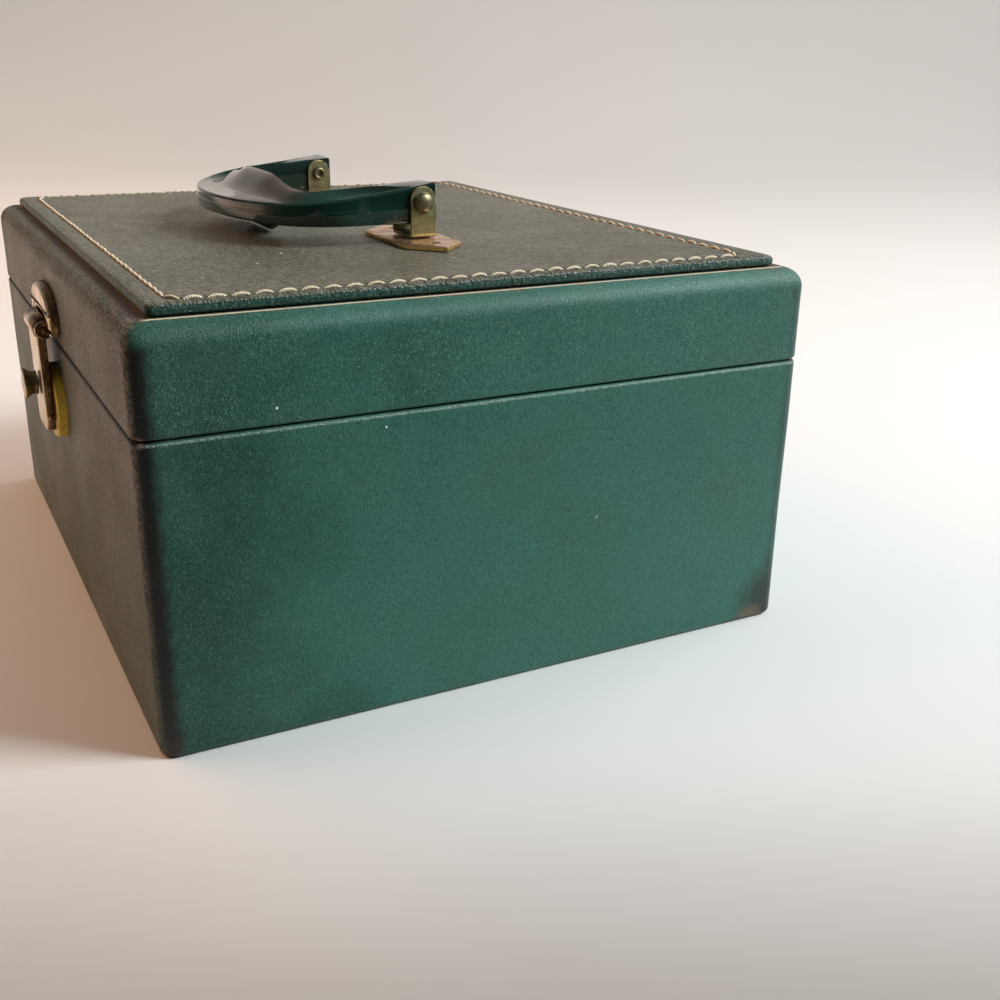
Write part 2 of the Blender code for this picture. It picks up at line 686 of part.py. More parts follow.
def make_handle(lid, axis):
    """Moulded grip, two brackets of plate and strap on the panel, and the rivets that it turns on."""
    stops = [step / 4 for step in range(1, 5)] + [1.0 + step / 10 for step in range(1, 11)]
    end_shrink = 1.0 - 2 * ARM_END_CHAMFER / ARM_END_HEIGHT
    half = [grip_ring(0.0, -1, end_shrink), grip_ring(0.0, -1, 1.0, -ARM_END_CHAMFER)]
    half += [grip_ring(stop, -1) for stop in stops]
    other = [grip_ring(stop, 1) for stop in reversed(stops[:-1])]
    other += [grip_ring(0.0, 1, 1.0, -ARM_END_CHAMFER), grip_ring(0.0, 1, end_shrink)]
    grip = add_part("handle_grip", loft(half + other), "moulded plastic", axis)
    reach = ARM_OUTER + EAR_WIDTH
    bore = RIVET_RADIUS + RIVET_CLEARANCE
    combine(grip, "grip rivet holes", rod(bore, (-reach, PIVOT_Y, PIVOT_Z), (reach, PIVOT_Y, PIVOT_Z)))

    middle = ARM_OUTER - ARM_THICKNESS / 2
    foot = PANEL_TOP + FIT
    top = foot + BRACKET_THICKNESS
    for side, name in ((-1, "left"), (1, "right")):
        centre = side * middle
        plate_centre = side * (middle - BRACKET_INBOARD)
        plate = loft([
            bracket_outline(plate_centre, foot, 0.0),
            bracket_outline(plate_centre, top - BRACKET_BEVEL / 2, 0.0),
            bracket_outline(plate_centre, top, BRACKET_BEVEL),
        ])
        plate = add_part("bracket_plate_" + name, plate, "brass", lid)
        holes = None
        for end in (-1, 1):
            x = plate_centre + end * BRACKET_HOLE_SPACING / 2
            low = (x, PIVOT_Y, foot - BRACKET_THICKNESS)
            high = (x, PIVOT_Y, top + BRACKET_THICKNESS)
            holes = rod(BRACKET_HOLE_RADIUS, low, high, shape=holes)
        combine(plate, "bracket nail holes " + name, holes)

        strap = add_part("bracket_strap_" + name, strap_shape(centre, top + FIT), "brass", lid)
        low = (centre - ARM_THICKNESS, PIVOT_Y, PIVOT_Z)
        high = (centre + ARM_THICKNESS, PIVOT_Y, PIVOT_Z)
        combine(strap, "strap rivet holes " + name, rod(bore, low, high))
        add_part("handle_rivet_" + name, rivet_shape(side), "brass", lid)


def bracket_outline(centre, z, inset):
    """Six-sided plate outline, pointed along X, with its edges set in evenly."""
    half = BRACKET_LENGTH / 2
    straight = BRACKET_STRAIGHT / 2
    wide = BRACKET_WIDTH / 2
    slope = math.atan2(wide, half - straight)
    tip = half - inset / math.sin(slope)
    knee = straight + inset / math.tan(slope) - inset / math.sin(slope)
    side = wide - inset
    outline = [(tip, 0.0), (knee, side), (-knee, side), (-tip, 0.0), (-knee, -side), (knee, -side)]
    return [(centre + x, PIVOT_Y + y, z) for x, y in outline]


def strap_shape(centre, foot):
    """U-shaped strap: one strip that runs down an ear, under the arm and up the other ear."""
    outer = ARM_THICKNESS / 2 + EAR_CLEARANCE + EAR_METAL
    round_half = EAR_WIDTH / 2
    round_centre = PIVOT_Z + EAR_ABOVE_PIVOT - round_half
    path = []
    for step in range(7):
        angle = math.radians(83.0 - 83.0 * step / 6)
        width = round_half * math.cos(angle)
        path.append(((-outer, round_centre + round_half * math.sin(angle)), (1.0, 0.0), width))
    for step in range(5):
        angle = math.radians(90.0 * step / 4)
        x = -outer + EAR_BEND - EAR_BEND * math.cos(angle)
        z = foot + EAR_BEND - EAR_BEND * math.sin(angle)
        path.append(((x, z), (math.cos(angle), math.sin(angle)), round_half))
    mirrored = [((-x, z), (-nx, nz), width) for (x, z), (nx, nz), width in reversed(path)]
    rings = []
    for (x, z), (inward_x, inward_z), width in path + mirrored:
        inner_x = x + inward_x * EAR_METAL
        inner_z = z + inward_z * EAR_METAL
        rings.append([
            (centre + x, PIVOT_Y - width, z),
            (centre + x, PIVOT_Y + width, z),
            (centre + inner_x, PIVOT_Y + width, inner_z),
            (centre + inner_x, PIVOT_Y - width, inner_z),
        ])
    return loft(rings)


def rivet_shape(side):
    """Rivet with a domed head outside the outer ear and a rolled end inside the inner ear."""
    inner_face = ARM_OUTER - ARM_THICKNESS - EAR_CLEARANCE - EAR_METAL - RIVET_CLEARANCE
    outer_face = ARM_OUTER + EAR_CLEARANCE + EAR_METAL + RIVET_CLEARANCE
    length = outer_face - inner_face
    profile = [
        (0.0, -RIVET_TAIL / 2),
        (RIVET_TAIL_RADIUS / 2, -RIVET_TAIL / 2),
        (RIVET_TAIL_RADIUS * 0.7, -RIVET_TAIL),
        (RIVET_TAIL_RADIUS, -RIVET_TAIL / 2),
        (RIVET_TAIL_RADIUS, 0.0),
        (RIVET_RADIUS, 0.0),
        (RIVET_RADIUS, length),
        (RIVET_HEAD_RADIUS, length),
    ]
    for step in range(1, 5):
        angle = math.radians(90.0 * step / 4)
        radius = RIVET_HEAD_RADIUS * math.cos(angle) if step < 4 else 0.0
        profile.append((radius, length + RIVET_HEAD_HEIGHT * math.sin(angle)))
    return turned(profile, (side, 0, 0), (side * inner_face, PIVOT_Y, PIVOT_Z))


def make_lock(lid, hasp, knob):
    """Round body on the base, plate on the lid, and the hinged leaf with its knob and cam."""
    profile = [
        (0.0, 0.0),
        (LOCK_RADIUS, 0.0),
        (LOCK_RADIUS, LOCK_DEPTH - LOCK_RIM / 3),
        (LOCK_RADIUS - LOCK_RIM / 3, LOCK_DEPTH),
        (LOCK_RADIUS - LOCK_RIM, LOCK_DEPTH),
        (LOCK_RADIUS - LOCK_RIM - LOCK_FACE_RECESS, LOCK_DEPTH - LOCK_FACE_RECESS),
        (0.0, LOCK_DEPTH - LOCK_FACE_RECESS),
    ]
    body = turned(profile, (0, -1, 0), (0, -LOCK_BACK, LOCK_Z), LARGE_ROUND_STEPS)
    body = add_part("lock_body", body, "brass")
    cam_half = CAM_LENGTH / 2
    wide = CHANNEL_WIDTH / 2
    channel = box(
        (-wide, -LOCK_FRONT - COVERING, KNOB_Z - cam_half - CAM_CLEARANCE),
        (wide, -LOCK_FLOOR, LOCK_Z + LOCK_RADIUS + COVERING),
    )
    combine(body, "cam channel", channel)
    lip_back = LOCK_FRONT - LOCK_FACE_RECESS - LOCK_LIP
    pocket = rod(cam_half + CAM_CLEARANCE, (0, -LOCK_FLOOR, KNOB_Z), (0, -lip_back, KNOB_Z), 24)
    combine(body, "cam pocket", pocket)

    make_hasp_plate(lid)
    make_hasp_leaf(hasp)

    front = lip_back - CAM_CLEARANCE
    back = front - CAM_THICKNESS
    count = 24
    outline = []
    circle = []
    for step in range(count):
        angle = math.tau * step / count
        across = abs(math.cos(angle))
        reach = cam_half if across < 0.001 else min(cam_half, CAM_WIDTH / 2 / across)
        outline.append((reach * math.cos(angle), reach * math.sin(angle)))
        circle.append((SPINDLE_RADIUS * math.cos(angle), SPINDLE_RADIUS * math.sin(angle)))
    spindle_end = HASP_FRONT + FIT / 2
    cam = loft([
        [(x, -back, KNOB_Z + z) for x, z in outline],
        [(x, -front, KNOB_Z + z) for x, z in outline],
        [(x, -front, KNOB_Z + z) for x, z in circle],
        [(x, -spindle_end, KNOB_Z + z) for x, z in circle],
    ])
    add_part("cam", cam, "brass", knob)

    start = spindle_end + FIT
    stages = (
        (0.0, KNOB_WAIST * 1.05), (0.45, KNOB_WAIST), (0.72, KNOB_RADIUS * 0.93),
        (0.84, KNOB_RADIUS), (0.93, KNOB_RADIUS * 0.97), (1.0, KNOB_RADIUS * 0.80),
    )
    rings = []
    for share, radius in stages:
        ring = []
        for corner in range(KNOB_SIDES):
            angle = math.tau * (corner + 0.5) / KNOB_SIDES
            y = -(start + KNOB_LENGTH * share)
            ring.append((radius * math.cos(angle), y, KNOB_Z + radius * math.sin(angle)))
        rings.append(ring)
    add_part("knob", loft(rings), "brass", knob, 25.0)


def make_hasp_plate(lid):
    """Pressed plate on the lid with a sloped edge, an arched top, and the lugs of the hasp's pin."""
    bottom = SEAM_HEIGHT + PLATE_BOTTOM_ABOVE_SEAM

    def outline(inset, depth):
        side = PLATE_HALF_WIDTH - inset
        arch_x = side - PLATE_SHOULDER
        shoulder = PLATE_SHOULDER_HEIGHT - inset / 2
        arch_z = PLATE_TOP_HEIGHT - inset - shoulder
        points = [(side, inset), (side, shoulder)]
        for step in range(13):
            angle = math.radians(180.0 * step / 12)
            points.append((arch_x * math.cos(angle), shoulder + arch_z * math.sin(angle)))
        points += [(-side, shoulder), (-side, inset)]
        return [(x, -(CASE_FACE + FIT + depth), bottom + z) for x, z in points]

    slope = PLATE_SLOPE
    plate = loft([
        outline(0.0, 0.0),
        outline(0.0, PLATE_EDGE_DEPTH),
        outline(slope * 0.6, PLATE_EDGE_DEPTH + (PLATE_DEPTH - PLATE_EDGE_DEPTH) * 0.8),
        outline(slope, PLATE_DEPTH),
    ])
    plate = add_part("hasp_plate", plate, "brass", lid)
    half = HASP_WIDTH / 2 + FIT
    room = HASP_KNUCKLE_RADIUS + FIT
    notch = box(
        (-half, -(CASE_FACE + 4 * PLATE_DEPTH), bottom - COVERING),
        (half, -CASE_FACE, HASP_Z + room),
    )
    combine(plate, "knuckle notch plate", notch)
    lugs = None
    for side in (-1, 1):
        start = (side * half, -HASP_Y, HASP_Z)
        stop = (side * (half + HASP_LUG_WIDTH), -HASP_Y, HASP_Z)
        lugs = rod(HASP_LUG_RADIUS, start, stop, 20, lugs)
    combine(plate, "pin lugs", lugs, "UNION")
    bore = HASP_PIN_RADIUS + PIN_CLEARANCE
    reach = half + HASP_LUG_WIDTH * 0.7
    combine(plate, "lug bore", rod(bore, (-reach, -HASP_Y, HASP_Z), (reach, -HASP_Y, HASP_Z)))
    end = reach - FIT
    pin = rod(HASP_PIN_RADIUS, (-end, -HASP_Y, HASP_Z), (end, -HASP_Y, HASP_Z))
    add_part("hasp_pin", pin, "brass", lid)


def make_hasp_leaf(hasp):
    """Leaf bent from sheet: two side flanges, a rounded foot, and a knuckle rolled round the pin."""
    half = HASP_WIDTH / 2
    foot = SEAM_HEIGHT - HASP_FOOT_BELOW_SEAM
    bend = HASP_METAL * 0.6
    section = [
        (half, HASP_BACK), (half, HASP_FRONT - bend), (half - bend, HASP_FRONT),
        (-half + bend, HASP_FRONT), (-half, HASP_FRONT - bend), (-half, HASP_BACK),
        (-half + HASP_METAL, HASP_BACK), (-half + HASP_METAL, HASP_SHEET),
        (half - HASP_METAL, HASP_SHEET), (half - HASP_METAL, HASP_BACK),
    ]
    top = HASP_Z - HASP_KNUCKLE_RADIUS / 2
    leaf = prism([(x, -y, foot) for x, y in section], (0, 0, top - foot))
    leaf = add_part("hasp_leaf", leaf, "brass", hasp)
    inner = half - FIT
    knuckle = rod(HASP_KNUCKLE_RADIUS, (-inner, -HASP_Y, HASP_Z), (inner, -HASP_Y, HASP_Z), 24)
    combine(leaf, "hasp knuckle", knuckle, "UNION")
    bore = HASP_PIN_RADIUS + PIN_CLEARANCE
    combine(leaf, "knuckle bore", rod(bore, (-half - FIT, -HASP_Y, HASP_Z), (half + FIT, -HASP_Y, HASP_Z)))
    hole = SPINDLE_RADIUS + SPINDLE_CLEARANCE
    start = (0, -(HASP_SHEET - HASP_METAL), KNOB_Z)
    stop = (0, -(HASP_FRONT + HASP_METAL), KNOB_Z)
    combine(leaf, "spindle hole", rod(hole, start, stop))
    cut = HASP_FOOT_ROUND
    corners = None
    for side in (-1, 1):
        outline = [(half - cut, foot - cut), (half + cut, foot - cut), (half + cut, foot + 2 * cut)]
        middle = Vector((half, foot)) + Vector((-cut, cut)) * 0.3
        outline += [(half + 0.0001, foot + cut), (middle.x, middle.y), (half - cut, foot - 0.0001)]
        points = [(side * x, -(HASP_FRONT + cut), z) for x, z in outline]
        made = prism(points, (0, HASP_FRONT + cut - HASP_BACK + HASP_METAL / 2, 0))
        if corners is None:
            corners = made
            continue
        mesh = bpy.data.meshes.new("second corner")
        made.to_mesh(mesh)
        made.free()
        corners.from_mesh(mesh)
        bpy.data.meshes.remove(mesh)
    combine(leaf, "rounded foot", corners)


def build():
    """Builds the case closed, with the handle folded forward and the lock's knob upright."""
    clear_objects()
    lid = add_axis("lid_axis", (0, HINGE_Y, SEAM_HEIGHT))
    handle = add_axis("handle_axis", (0, PIVOT_Y, PIVOT_Z), lid)
    hasp = add_axis("hasp_axis", (0, -HASP_Y, HASP_Z), lid)
    knob = add_axis("knob_axis", (0, -HASP_FRONT, KNOB_Z), hasp)
    seat = add_axis("tray_seat", (0, 0, TRAY_BOTTOM))
    make_base()
    make_linings()
    make_tray(seat)
    make_lid(lid)
    make_hinges(lid)
    make_handle(lid, handle)
    make_lock(lid, hasp, knob)


build()
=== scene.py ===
"""Looks of the jewelry case: leatherette with a stitched panel, moulded handle, brass lock, lined inside."""
import math

import bmesh
import bpy
import numpy as np
from mathutils import Matrix, Vector


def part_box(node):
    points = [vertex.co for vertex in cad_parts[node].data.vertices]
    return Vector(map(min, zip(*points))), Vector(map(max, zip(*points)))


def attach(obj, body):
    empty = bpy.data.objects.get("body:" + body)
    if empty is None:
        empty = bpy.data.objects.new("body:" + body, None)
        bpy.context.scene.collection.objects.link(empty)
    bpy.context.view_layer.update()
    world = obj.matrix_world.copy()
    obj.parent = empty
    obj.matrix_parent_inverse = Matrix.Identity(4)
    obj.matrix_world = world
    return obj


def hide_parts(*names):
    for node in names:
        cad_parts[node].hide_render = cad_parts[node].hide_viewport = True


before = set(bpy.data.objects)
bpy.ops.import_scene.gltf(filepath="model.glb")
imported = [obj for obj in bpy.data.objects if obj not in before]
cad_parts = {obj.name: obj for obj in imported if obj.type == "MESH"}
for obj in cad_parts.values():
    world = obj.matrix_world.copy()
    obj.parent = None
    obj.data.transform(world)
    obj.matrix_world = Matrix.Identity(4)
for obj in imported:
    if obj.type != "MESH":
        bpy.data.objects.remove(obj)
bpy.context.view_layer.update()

# Places taken from the frame, in metres
case_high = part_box("base_covering")[1]
lid_low, lid_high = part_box("lid_covering")
panel_low, panel_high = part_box("lid_panel")
HALF_X = case_high.x
HALF_Y = case_high.y
BASE_RIM = case_high.z
LID_RIM = lid_low.z
LID_TOP = lid_high.z
PANEL_FOOT = panel_low.z
PANEL_TOP = panel_high.z

# Covering, and the play that pieces have between them
CLEARANCE = 0.0003
COVERING = 0.001
CORNER_RADIUS = 0.0045
BOARD_INSIDE = 0.0056
TURNED_IN = 0.0066
TURN_DEPTH = 0.010
UNDERSIDE_FLANGE = 0.012
TOP_FLANGE = 0.030
FOLD_INSET = 0.0060
LID_EDGE = 0.006
PANEL_CORNER = 0.0025

# Stitching round the panel: left, right, front and back line
STITCH_LINES = (-0.1120, 0.1132, -0.0902, 0.0870)
STITCH_CORNER = (0.0054, 0.0032)
STITCH_PITCH = 0.00615
THREAD = 0.00047
THREAD_RISE = 0.0009
THREAD_SINK = 0.0006
NEEDLE_HOLE = (0.0010, 0.0006)

# Handle
PIVOT = (0.004, 0.1345)
ARM_OUTER = 0.0551
ARM_THICKNESS = 0.0125
ARM_BEHIND = 0.0054
ARM_UNDER_PIVOT = 0.0067
ARM_END_HEIGHT = 0.0126
ARM_END_ROUND = 0.0011
ARM_LENGTH = 0.023
BOW_DEPTH = 0.0315
INNER_BOW_DEPTH = 0.0116
BOW_SQUARENESS = 0.444
LIP_HEIGHT = 0.0063
GRIP_BELOW_PIVOT = 0.0034
LEVEL_SHARE = 0.8
CREST_RISE = 0.0033
CREST_ENDS = (0.035, 0.010)
LOWER_CREST_END = 0.030
SCOOP_DEPTH = 0.0023
GRIP_RIM = 0.0009
GRIP_RIM_EDGE = 0.00008
GRIP_RIDGE = 0.00028
EAR_WIDTH = 0.0084
EAR_METAL = 0.001
EAR_GAP = 0.0003
EAR_BEND = 0.0014
EAR_ABOVE = 0.005
RIVET_PLAY = 0.0002
PLATE_TOP = 0.1232
PLATE_INBOARD = 0.0012
NAIL_SPACING = 0.0344
RIVET = 0.0016
RIVET_HEAD = 0.00315
RIVET_TAIL = 0.0024
RIVET_EYE = 0.00105

# Lock
HASP_AXIS = (-0.1079, 0.0946)
HASP_HALF = 0.010
HASP_BACK = 0.1074
HASP_SHEET = 0.1092
HASP_FRONT = 0.1102
HASP_FOOT = 0.0605
HASP_FOOT_ROUND = 0.0024
HASP_METAL = 0.001
HASP_HEIGHT = 0.0324
HASP_BUTTON = (-0.1084, 0.0652)
KNUCKLE = 0.0034
LUG = 0.0029
LUG_WIDTH = 0.0022
KNOB_Z = 0.075
KNOB_START = 0.11065
KNOB_LENGTH = 0.0044
KNOB_RADIUS = 0.0052
KNOB_WAIST = 0.0039
KNOB_SIDES = 8
LOCK_PLATE_BOTTOM = 0.0936
LOCK_PLATE_HALF = 0.0195
LOCK_PLATE_SHOULDER = 0.0018
LOCK_PLATE_SIDE = 0.0080
LOCK_PLATE_HEIGHT = 0.014

# Hinges
HINGE_AXIS = (0.1068, 0.0894)
HINGE_X = 0.070
HINGE_FACE = 0.1055
SCREW_APART = 0.010
SCREW_DROP = 0.0098
SLOT_HEIGHT = 0.00052
SLOT_HALF = 0.0021
SLOT_RADIUS = 0.00027

# Inside
COLLAR = (0.0074, 0.0099)
COLLAR_FOOT = 0.0074
COLLAR_TOP = 0.0964
TRAY_HALF = (0.1145, 0.0935)
TRAY_BOTTOM = 0.058
TRAY_TOP = 0.090
TRAY_WALL = 0.0025
TRAY_FLOOR = 0.060
DIVIDER_CROSS = 0.02715
DIVIDER_HALF = 0.001
RIBBON_BEND = 0.00055
RIBBON_HALF_THICKNESS = 0.00016
LINING_FACE = 0.1079
LINING_LOW = 0.09995
LINING_TOP = 0.1131

# Light and camera. The case lies in the shade of a card up to a line across the floor before its long side
WINDOW = (0.86, 1.16, 1.12)
SHADE_LINE = (0.235, -0.05)
SHADE_HEIGHT = 0.22
AWAY = (-0.8832, 0.4690)
ACROSS = (0.4690, 0.8832)
# Lamps: name, place, target, size, power, colour, spread, and whether mirrors see it
LAMPS = (
    ("window_light", WINDOW, (-0.1, 0.05, 0.03), (0.7, 0.7), 14.2, (0.92, 0.97, 1.0), 110, True),
    ("backdrop_light", (-0.3, 1.9, 1.3), (-1.6, 0.35, 0.25), (1, 1), 13.0, (1.0, 0.99, 0.975), 150, True),
    ("ceiling_light", (-0.2, 0.1, 2.0), (-0.2, 0.1, 0.0), (1.7, 1.7), 6.5, (0.97, 0.98, 1.0), 180, False),
    ("warm_fill", (-0.8, -0.95, 1.0), (-0.35, -0.05, 0.0), (1.5, 1), 11.0, (1.0, 0.52, 0.27), 150, False),
    ("wall_glow", (-1.2, -1.1, 1.0), (-1.9, -0.25, 0.25), (0.9, 0.9), 4.0, (1.0, 0.82, 0.66), 140, True),
)
CAMERA_PLACE = (0.40705, -0.15305, 0.18033)
CAMERA_TURN = ((0.4638, -0.3215, 0.8256), (0.8858, 0.1523, -0.4383), (0.0152, 0.9346, 0.3554))
CAMERA_LENS = 42.754


def softened(points, cut, steps=5):
    """Closed outline with its corners rounded.

    The corner P, with A and B at the cut's distance from it along its two edges, becomes the curve
    (1-t)^2 A + 2t(1-t) P + t^2 B for t from 0 to 1.
    """
    points = np.asarray(points, float)
    cut = np.broadcast_to(np.asarray(cut, float), points.shape[:-1])[..., None]
    before = np.roll(points, 1, axis=-2) - points
    after = np.roll(points, -1, axis=-2) - points
    before /= np.linalg.norm(before, axis=-1, keepdims=True)
    after /= np.linalg.norm(after, axis=-1, keepdims=True)
    t = np.linspace(0.0, 1.0, steps)[:, None]
    start = (points + before * cut)[..., None, :]
    stop = (points + after * cut)[..., None, :]
    curve = (1 - t) ** 2 * start + 2 * t * (1 - t) * points[..., None, :] + t ** 2 * stop
    return curve.reshape(*points.shape[:-2], -1, points.shape[-1])


def with_steps(outline, longest):
    """Closed outline with even extra points: no two neighbours are further apart than the longest step."""
    ahead = np.roll(outline, -1, axis=0) - outline
    runs = np.ceil(np.linalg.norm(ahead, axis=1) / longest).astype(int).clip(1)
    turn = np.concatenate([np.arange(count) for count in runs])
    return np.repeat(outline, runs, axis=0) + np.repeat(ahead / runs[:, None], runs, axis=0) * turn[:, None]


def set_in(outline, distance):
    """Closed anticlockwise outline moved inwards by a distance: each corner moves along its mitre."""
    ahead = np.roll(outline, -1, axis=0) - outline
    ahead /= np.linalg.norm(ahead, axis=1, keepdims=True)
    inward = np.stack([-ahead[:, 1], ahead[:, 0]], axis=1)
    other = np.roll(inward, 1, axis=0)
    share = 1.0 + (inward * other).sum(axis=1, keepdims=True)
    return outline + distance * (inward + other) / share


def run_length(path):
    """Length of a path from its start to each of its points."""
    return np.concatenate([[0.0], np.cumsum(np.linalg.norm(np.diff(path, axis=0), axis=1))])


def plan_ring(half_x, half_y, radius, corner_steps=8, side_steps=(60, 50)):
    """Ring of a rounded rectangle: four quarter circles joined by straight runs, each cut into even steps."""
    signs = np.array([(1, 1), (-1, 1), (-1, -1), (1, -1)])
    angles = np.radians(90.0 * (np.arange(4)[:, None] + np.linspace(0.0, 1.0, corner_steps + 1)))
    arcs = signs[:, None] * np.array([half_x - radius, half_y - radius])
    arcs = arcs + radius * np.stack([np.cos(angles), np.sin(angles)], axis=-1)
    ring = []
    for corner in range(4):
        share = np.linspace(0.0, 1.0, side_steps[corner % 2] + 1)[1:-1, None]
        run = arcs[corner, -1] + (arcs[(corner + 1) % 4, 0] - arcs[corner, -1]) * share
        ring += [arcs[corner], run]
    return np.concatenate(ring)


def stacked(section, ring_at):
    """Level rings for the (inset, height) pairs of a section; ring_at gives the ring at an inset in plan."""
    rings = []
    for inset, height in section:
        ring = ring_at(inset)
        rings.append(np.column_stack([ring, np.full(len(ring), height)]))
    return np.stack(rings)


def round_case(section, **steps):
    """A section of (inset, height) carried round the case; deeper rings have tighter corners."""
    def ring_at(inset):
        radius = max(CORNER_RADIUS - inset / 2, 0.001)
        return plan_ring(HALF_X - inset, HALF_Y - inset, radius, **steps)

    return stacked(section, ring_at)


def grid(points, round_rows=False, round_columns=False, caps=False, marks=None):
    """Faces over a grid of points: every square of four neighbours. Several grids of one size may be stacked.

    round_rows and round_columns join the last row or column to the first, and caps closes the first
    and the last row with a face each.
    """
    points = np.asarray(points, float)
    rows, columns = points.shape[-3:-1]
    points = points.reshape(-1, rows, columns, 3)
    index = np.arange(points.size // 3).reshape(points.shape[:3])
    wide = index
    if round_rows:
        wide = np.concatenate([wide, wide[:, :1]], axis=1)
    if round_columns:
        wide = np.concatenate([wide, wide[:, :, :1]], axis=2)
    squares = np.stack([wide[:, :-1, :-1], wide[:, :-1, 1:], wide[:, 1:, 1:], wide[:, 1:, :-1]], axis=-1)
    corners = [squares.ravel()]
    sizes = [np.full(squares.size // 4, 4)]
    if caps:
        ends = np.concatenate([index[:, 0, ::-1], index[:, -1]])
        corners.append(ends.ravel())
        sizes.append(np.full(len(ends), columns))
    marks = np.zeros(points.shape) if marks is None else np.broadcast_to(marks, points.shape)
    return points.reshape(-1, 3), np.concatenate(corners), np.concatenate(sizes), marks.reshape(-1, 3)


def closed(rings, marks=None):
    """Faces over rings of points that are closed at both ends."""
    return grid(rings, round_columns=True, caps=True, marks=marks)


def turned(profile, middle, axis, steps=40, beat=None):
    """Surface turned from (radius, distance) points round an axis through the middle.

    beat is a factor on the radius for each of the steps, for knobs that aren't round.
    """
    profile = np.asarray(profile, float)
    axis = np.asarray(axis, float)
    side = np.cross(axis, (0.0, 0.0, 1.0) if abs(axis[2]) < 0.5 else (0.0, 1.0, 0.0))
    side /= np.linalg.norm(side)
    other = np.cross(axis, side)
    angle = np.linspace(0.0, math.tau, steps, endpoint=False)
    round_ring = np.cos(angle)[:, None] * side + np.sin(angle)[:, None] * other
    if beat is not None:
        round_ring = round_ring * np.asarray(beat)[:, None]
    points = np.asarray(middle, float) + profile[:, None, :1] * round_ring + profile[:, None, 1:] * axis
    return grid(points, round_columns=True)


def tube(path, radius, sides=6, flat=1.0, up=(0.0, 0.0, 1.0)):
    """Rings round a path, square to its run, with the radius given for each point of it."""
    run = np.gradient(path, axis=-2)
    run /= np.linalg.norm(run, axis=-1, keepdims=True)
    side = np.cross(run, np.asarray(up, float))
    side /= np.linalg.norm(side, axis=-1, keepdims=True)
    top = np.cross(side, run)
    angle = np.linspace(0.0, math.tau, sides, endpoint=False) - math.pi / 2
    ring = np.cos(angle)[:, None] * side[..., None, :] + flat * np.sin(angle)[:, None] * top[..., None, :]
    return path[..., None, :] + np.asarray(radius)[..., None, None] * ring


def slab(outline, levels, order=(0, 1, 2)):
    """Flat piece with shaped edges: the outline set in and raised by each (inset, height), ends closed.

    order says which of along, across and height is X, which Y and which Z.
    """
    return closed(stacked(levels, lambda inset: set_in(outline, inset))[..., list(order)])


def new_object(name, data):
    """New object in the scene."""
    thing = bpy.data.objects.new(name, data)
    bpy.context.scene.collection.objects.link(thing)
    return thing


def mend(mesh, distance):
    """Merges a mesh's doubles and turns its faces outwards."""
    shape = bmesh.new()
    shape.from_mesh(mesh)
    bmesh.ops.remove_doubles(shape, verts=shape.verts, dist=distance)
    bmesh.ops.recalc_face_normals(shape, faces=shape.faces)
    shape.to_mesh(mesh)
    shape.free()


def shade(mesh, crease):
    """Smooth shading with creases at edges sharper than so many degrees."""
    mesh.shade_smooth()
    mesh.set_sharp_from_angle(angle=math.radians(crease))


def settle(name, mesh, body, stands_for):
    """New object on its body and the frame's nodes that it stands for."""
    piece = new_object(name, mesh)
    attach(piece, body)
    if stands_for:
        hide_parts(*stands_for)
    return piece


def add_piece(name, patches, body, finish, stands_for=(), crease=38.0):
    """One object of several patches on a body: merged seams, outward faces, creases at sharp edges."""
    starts = np.cumsum([0] + [len(patch[0]) for patch in patches[:-1]])
    points = np.concatenate([patch[0] for patch in patches])
    corners = np.concatenate([patch[1] + start for patch, start in zip(patches, starts)])
    sizes = np.concatenate([patch[2] for patch in patches])
    marks = np.concatenate([patch[3] for patch in patches])
    mesh = bpy.data.meshes.new(name)
    mesh.vertices.add(len(points))
    mesh.vertices.foreach_set("co", points.ravel())
    mesh.loops.add(len(corners))
    mesh.loops.foreach_set("vertex_index", corners)
    mesh.polygons.add(len(sizes))
    mesh.polygons.foreach_set("loop_start", np.concatenate([[0], np.cumsum(sizes)[:-1]]))
    mesh.update(calc_edges=True)
    run = mesh.attributes.new("run", "FLOAT_VECTOR", "POINT")
    run.data.foreach_set("vector", marks.ravel())
    mend(mesh, 0.0000005)
    shade(mesh, crease)
    mesh.materials.append(finish)
    return settle(name, mesh, body, stands_for)


def refined(node, body, finish, edge=0.0002, crease=35.0):
    """Copy of a brass frame node with merged corners and softly broken edges, which stands for the node."""
    shape = bmesh.new()
    shape.from_mesh(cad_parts[node].data)
    bmesh.ops.remove_doubles(shape, verts=shape.verts, dist=0.000001)
    bmesh.ops.dissolve_limit(shape, angle_limit=math.radians(1.0), verts=shape.verts, edges=shape.edges)
    mesh = bpy.data.meshes.new(node + "_finished")
    shape.to_mesh(mesh)
    shape.free()
    mesh.materials.append(finish)
    shade(mesh, crease)
    piece = settle(node + "_finished", mesh, body, (node,))
    broken = piece.modifiers.new("broken edges", "BEVEL")
    broken.width = edge
    broken.segments = 2
    broken.limit_method = "ANGLE"
    broken.angle_limit = math.radians(crease)


def dress(finish, *nodes):
    """Gives frame nodes whose shape is right their finish."""
    for node in nodes:
        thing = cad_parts[node]
        if not thing.material_slots:
            thing.data.materials.append(finish)
        for slot in thing.material_slots:
            slot.material = finish


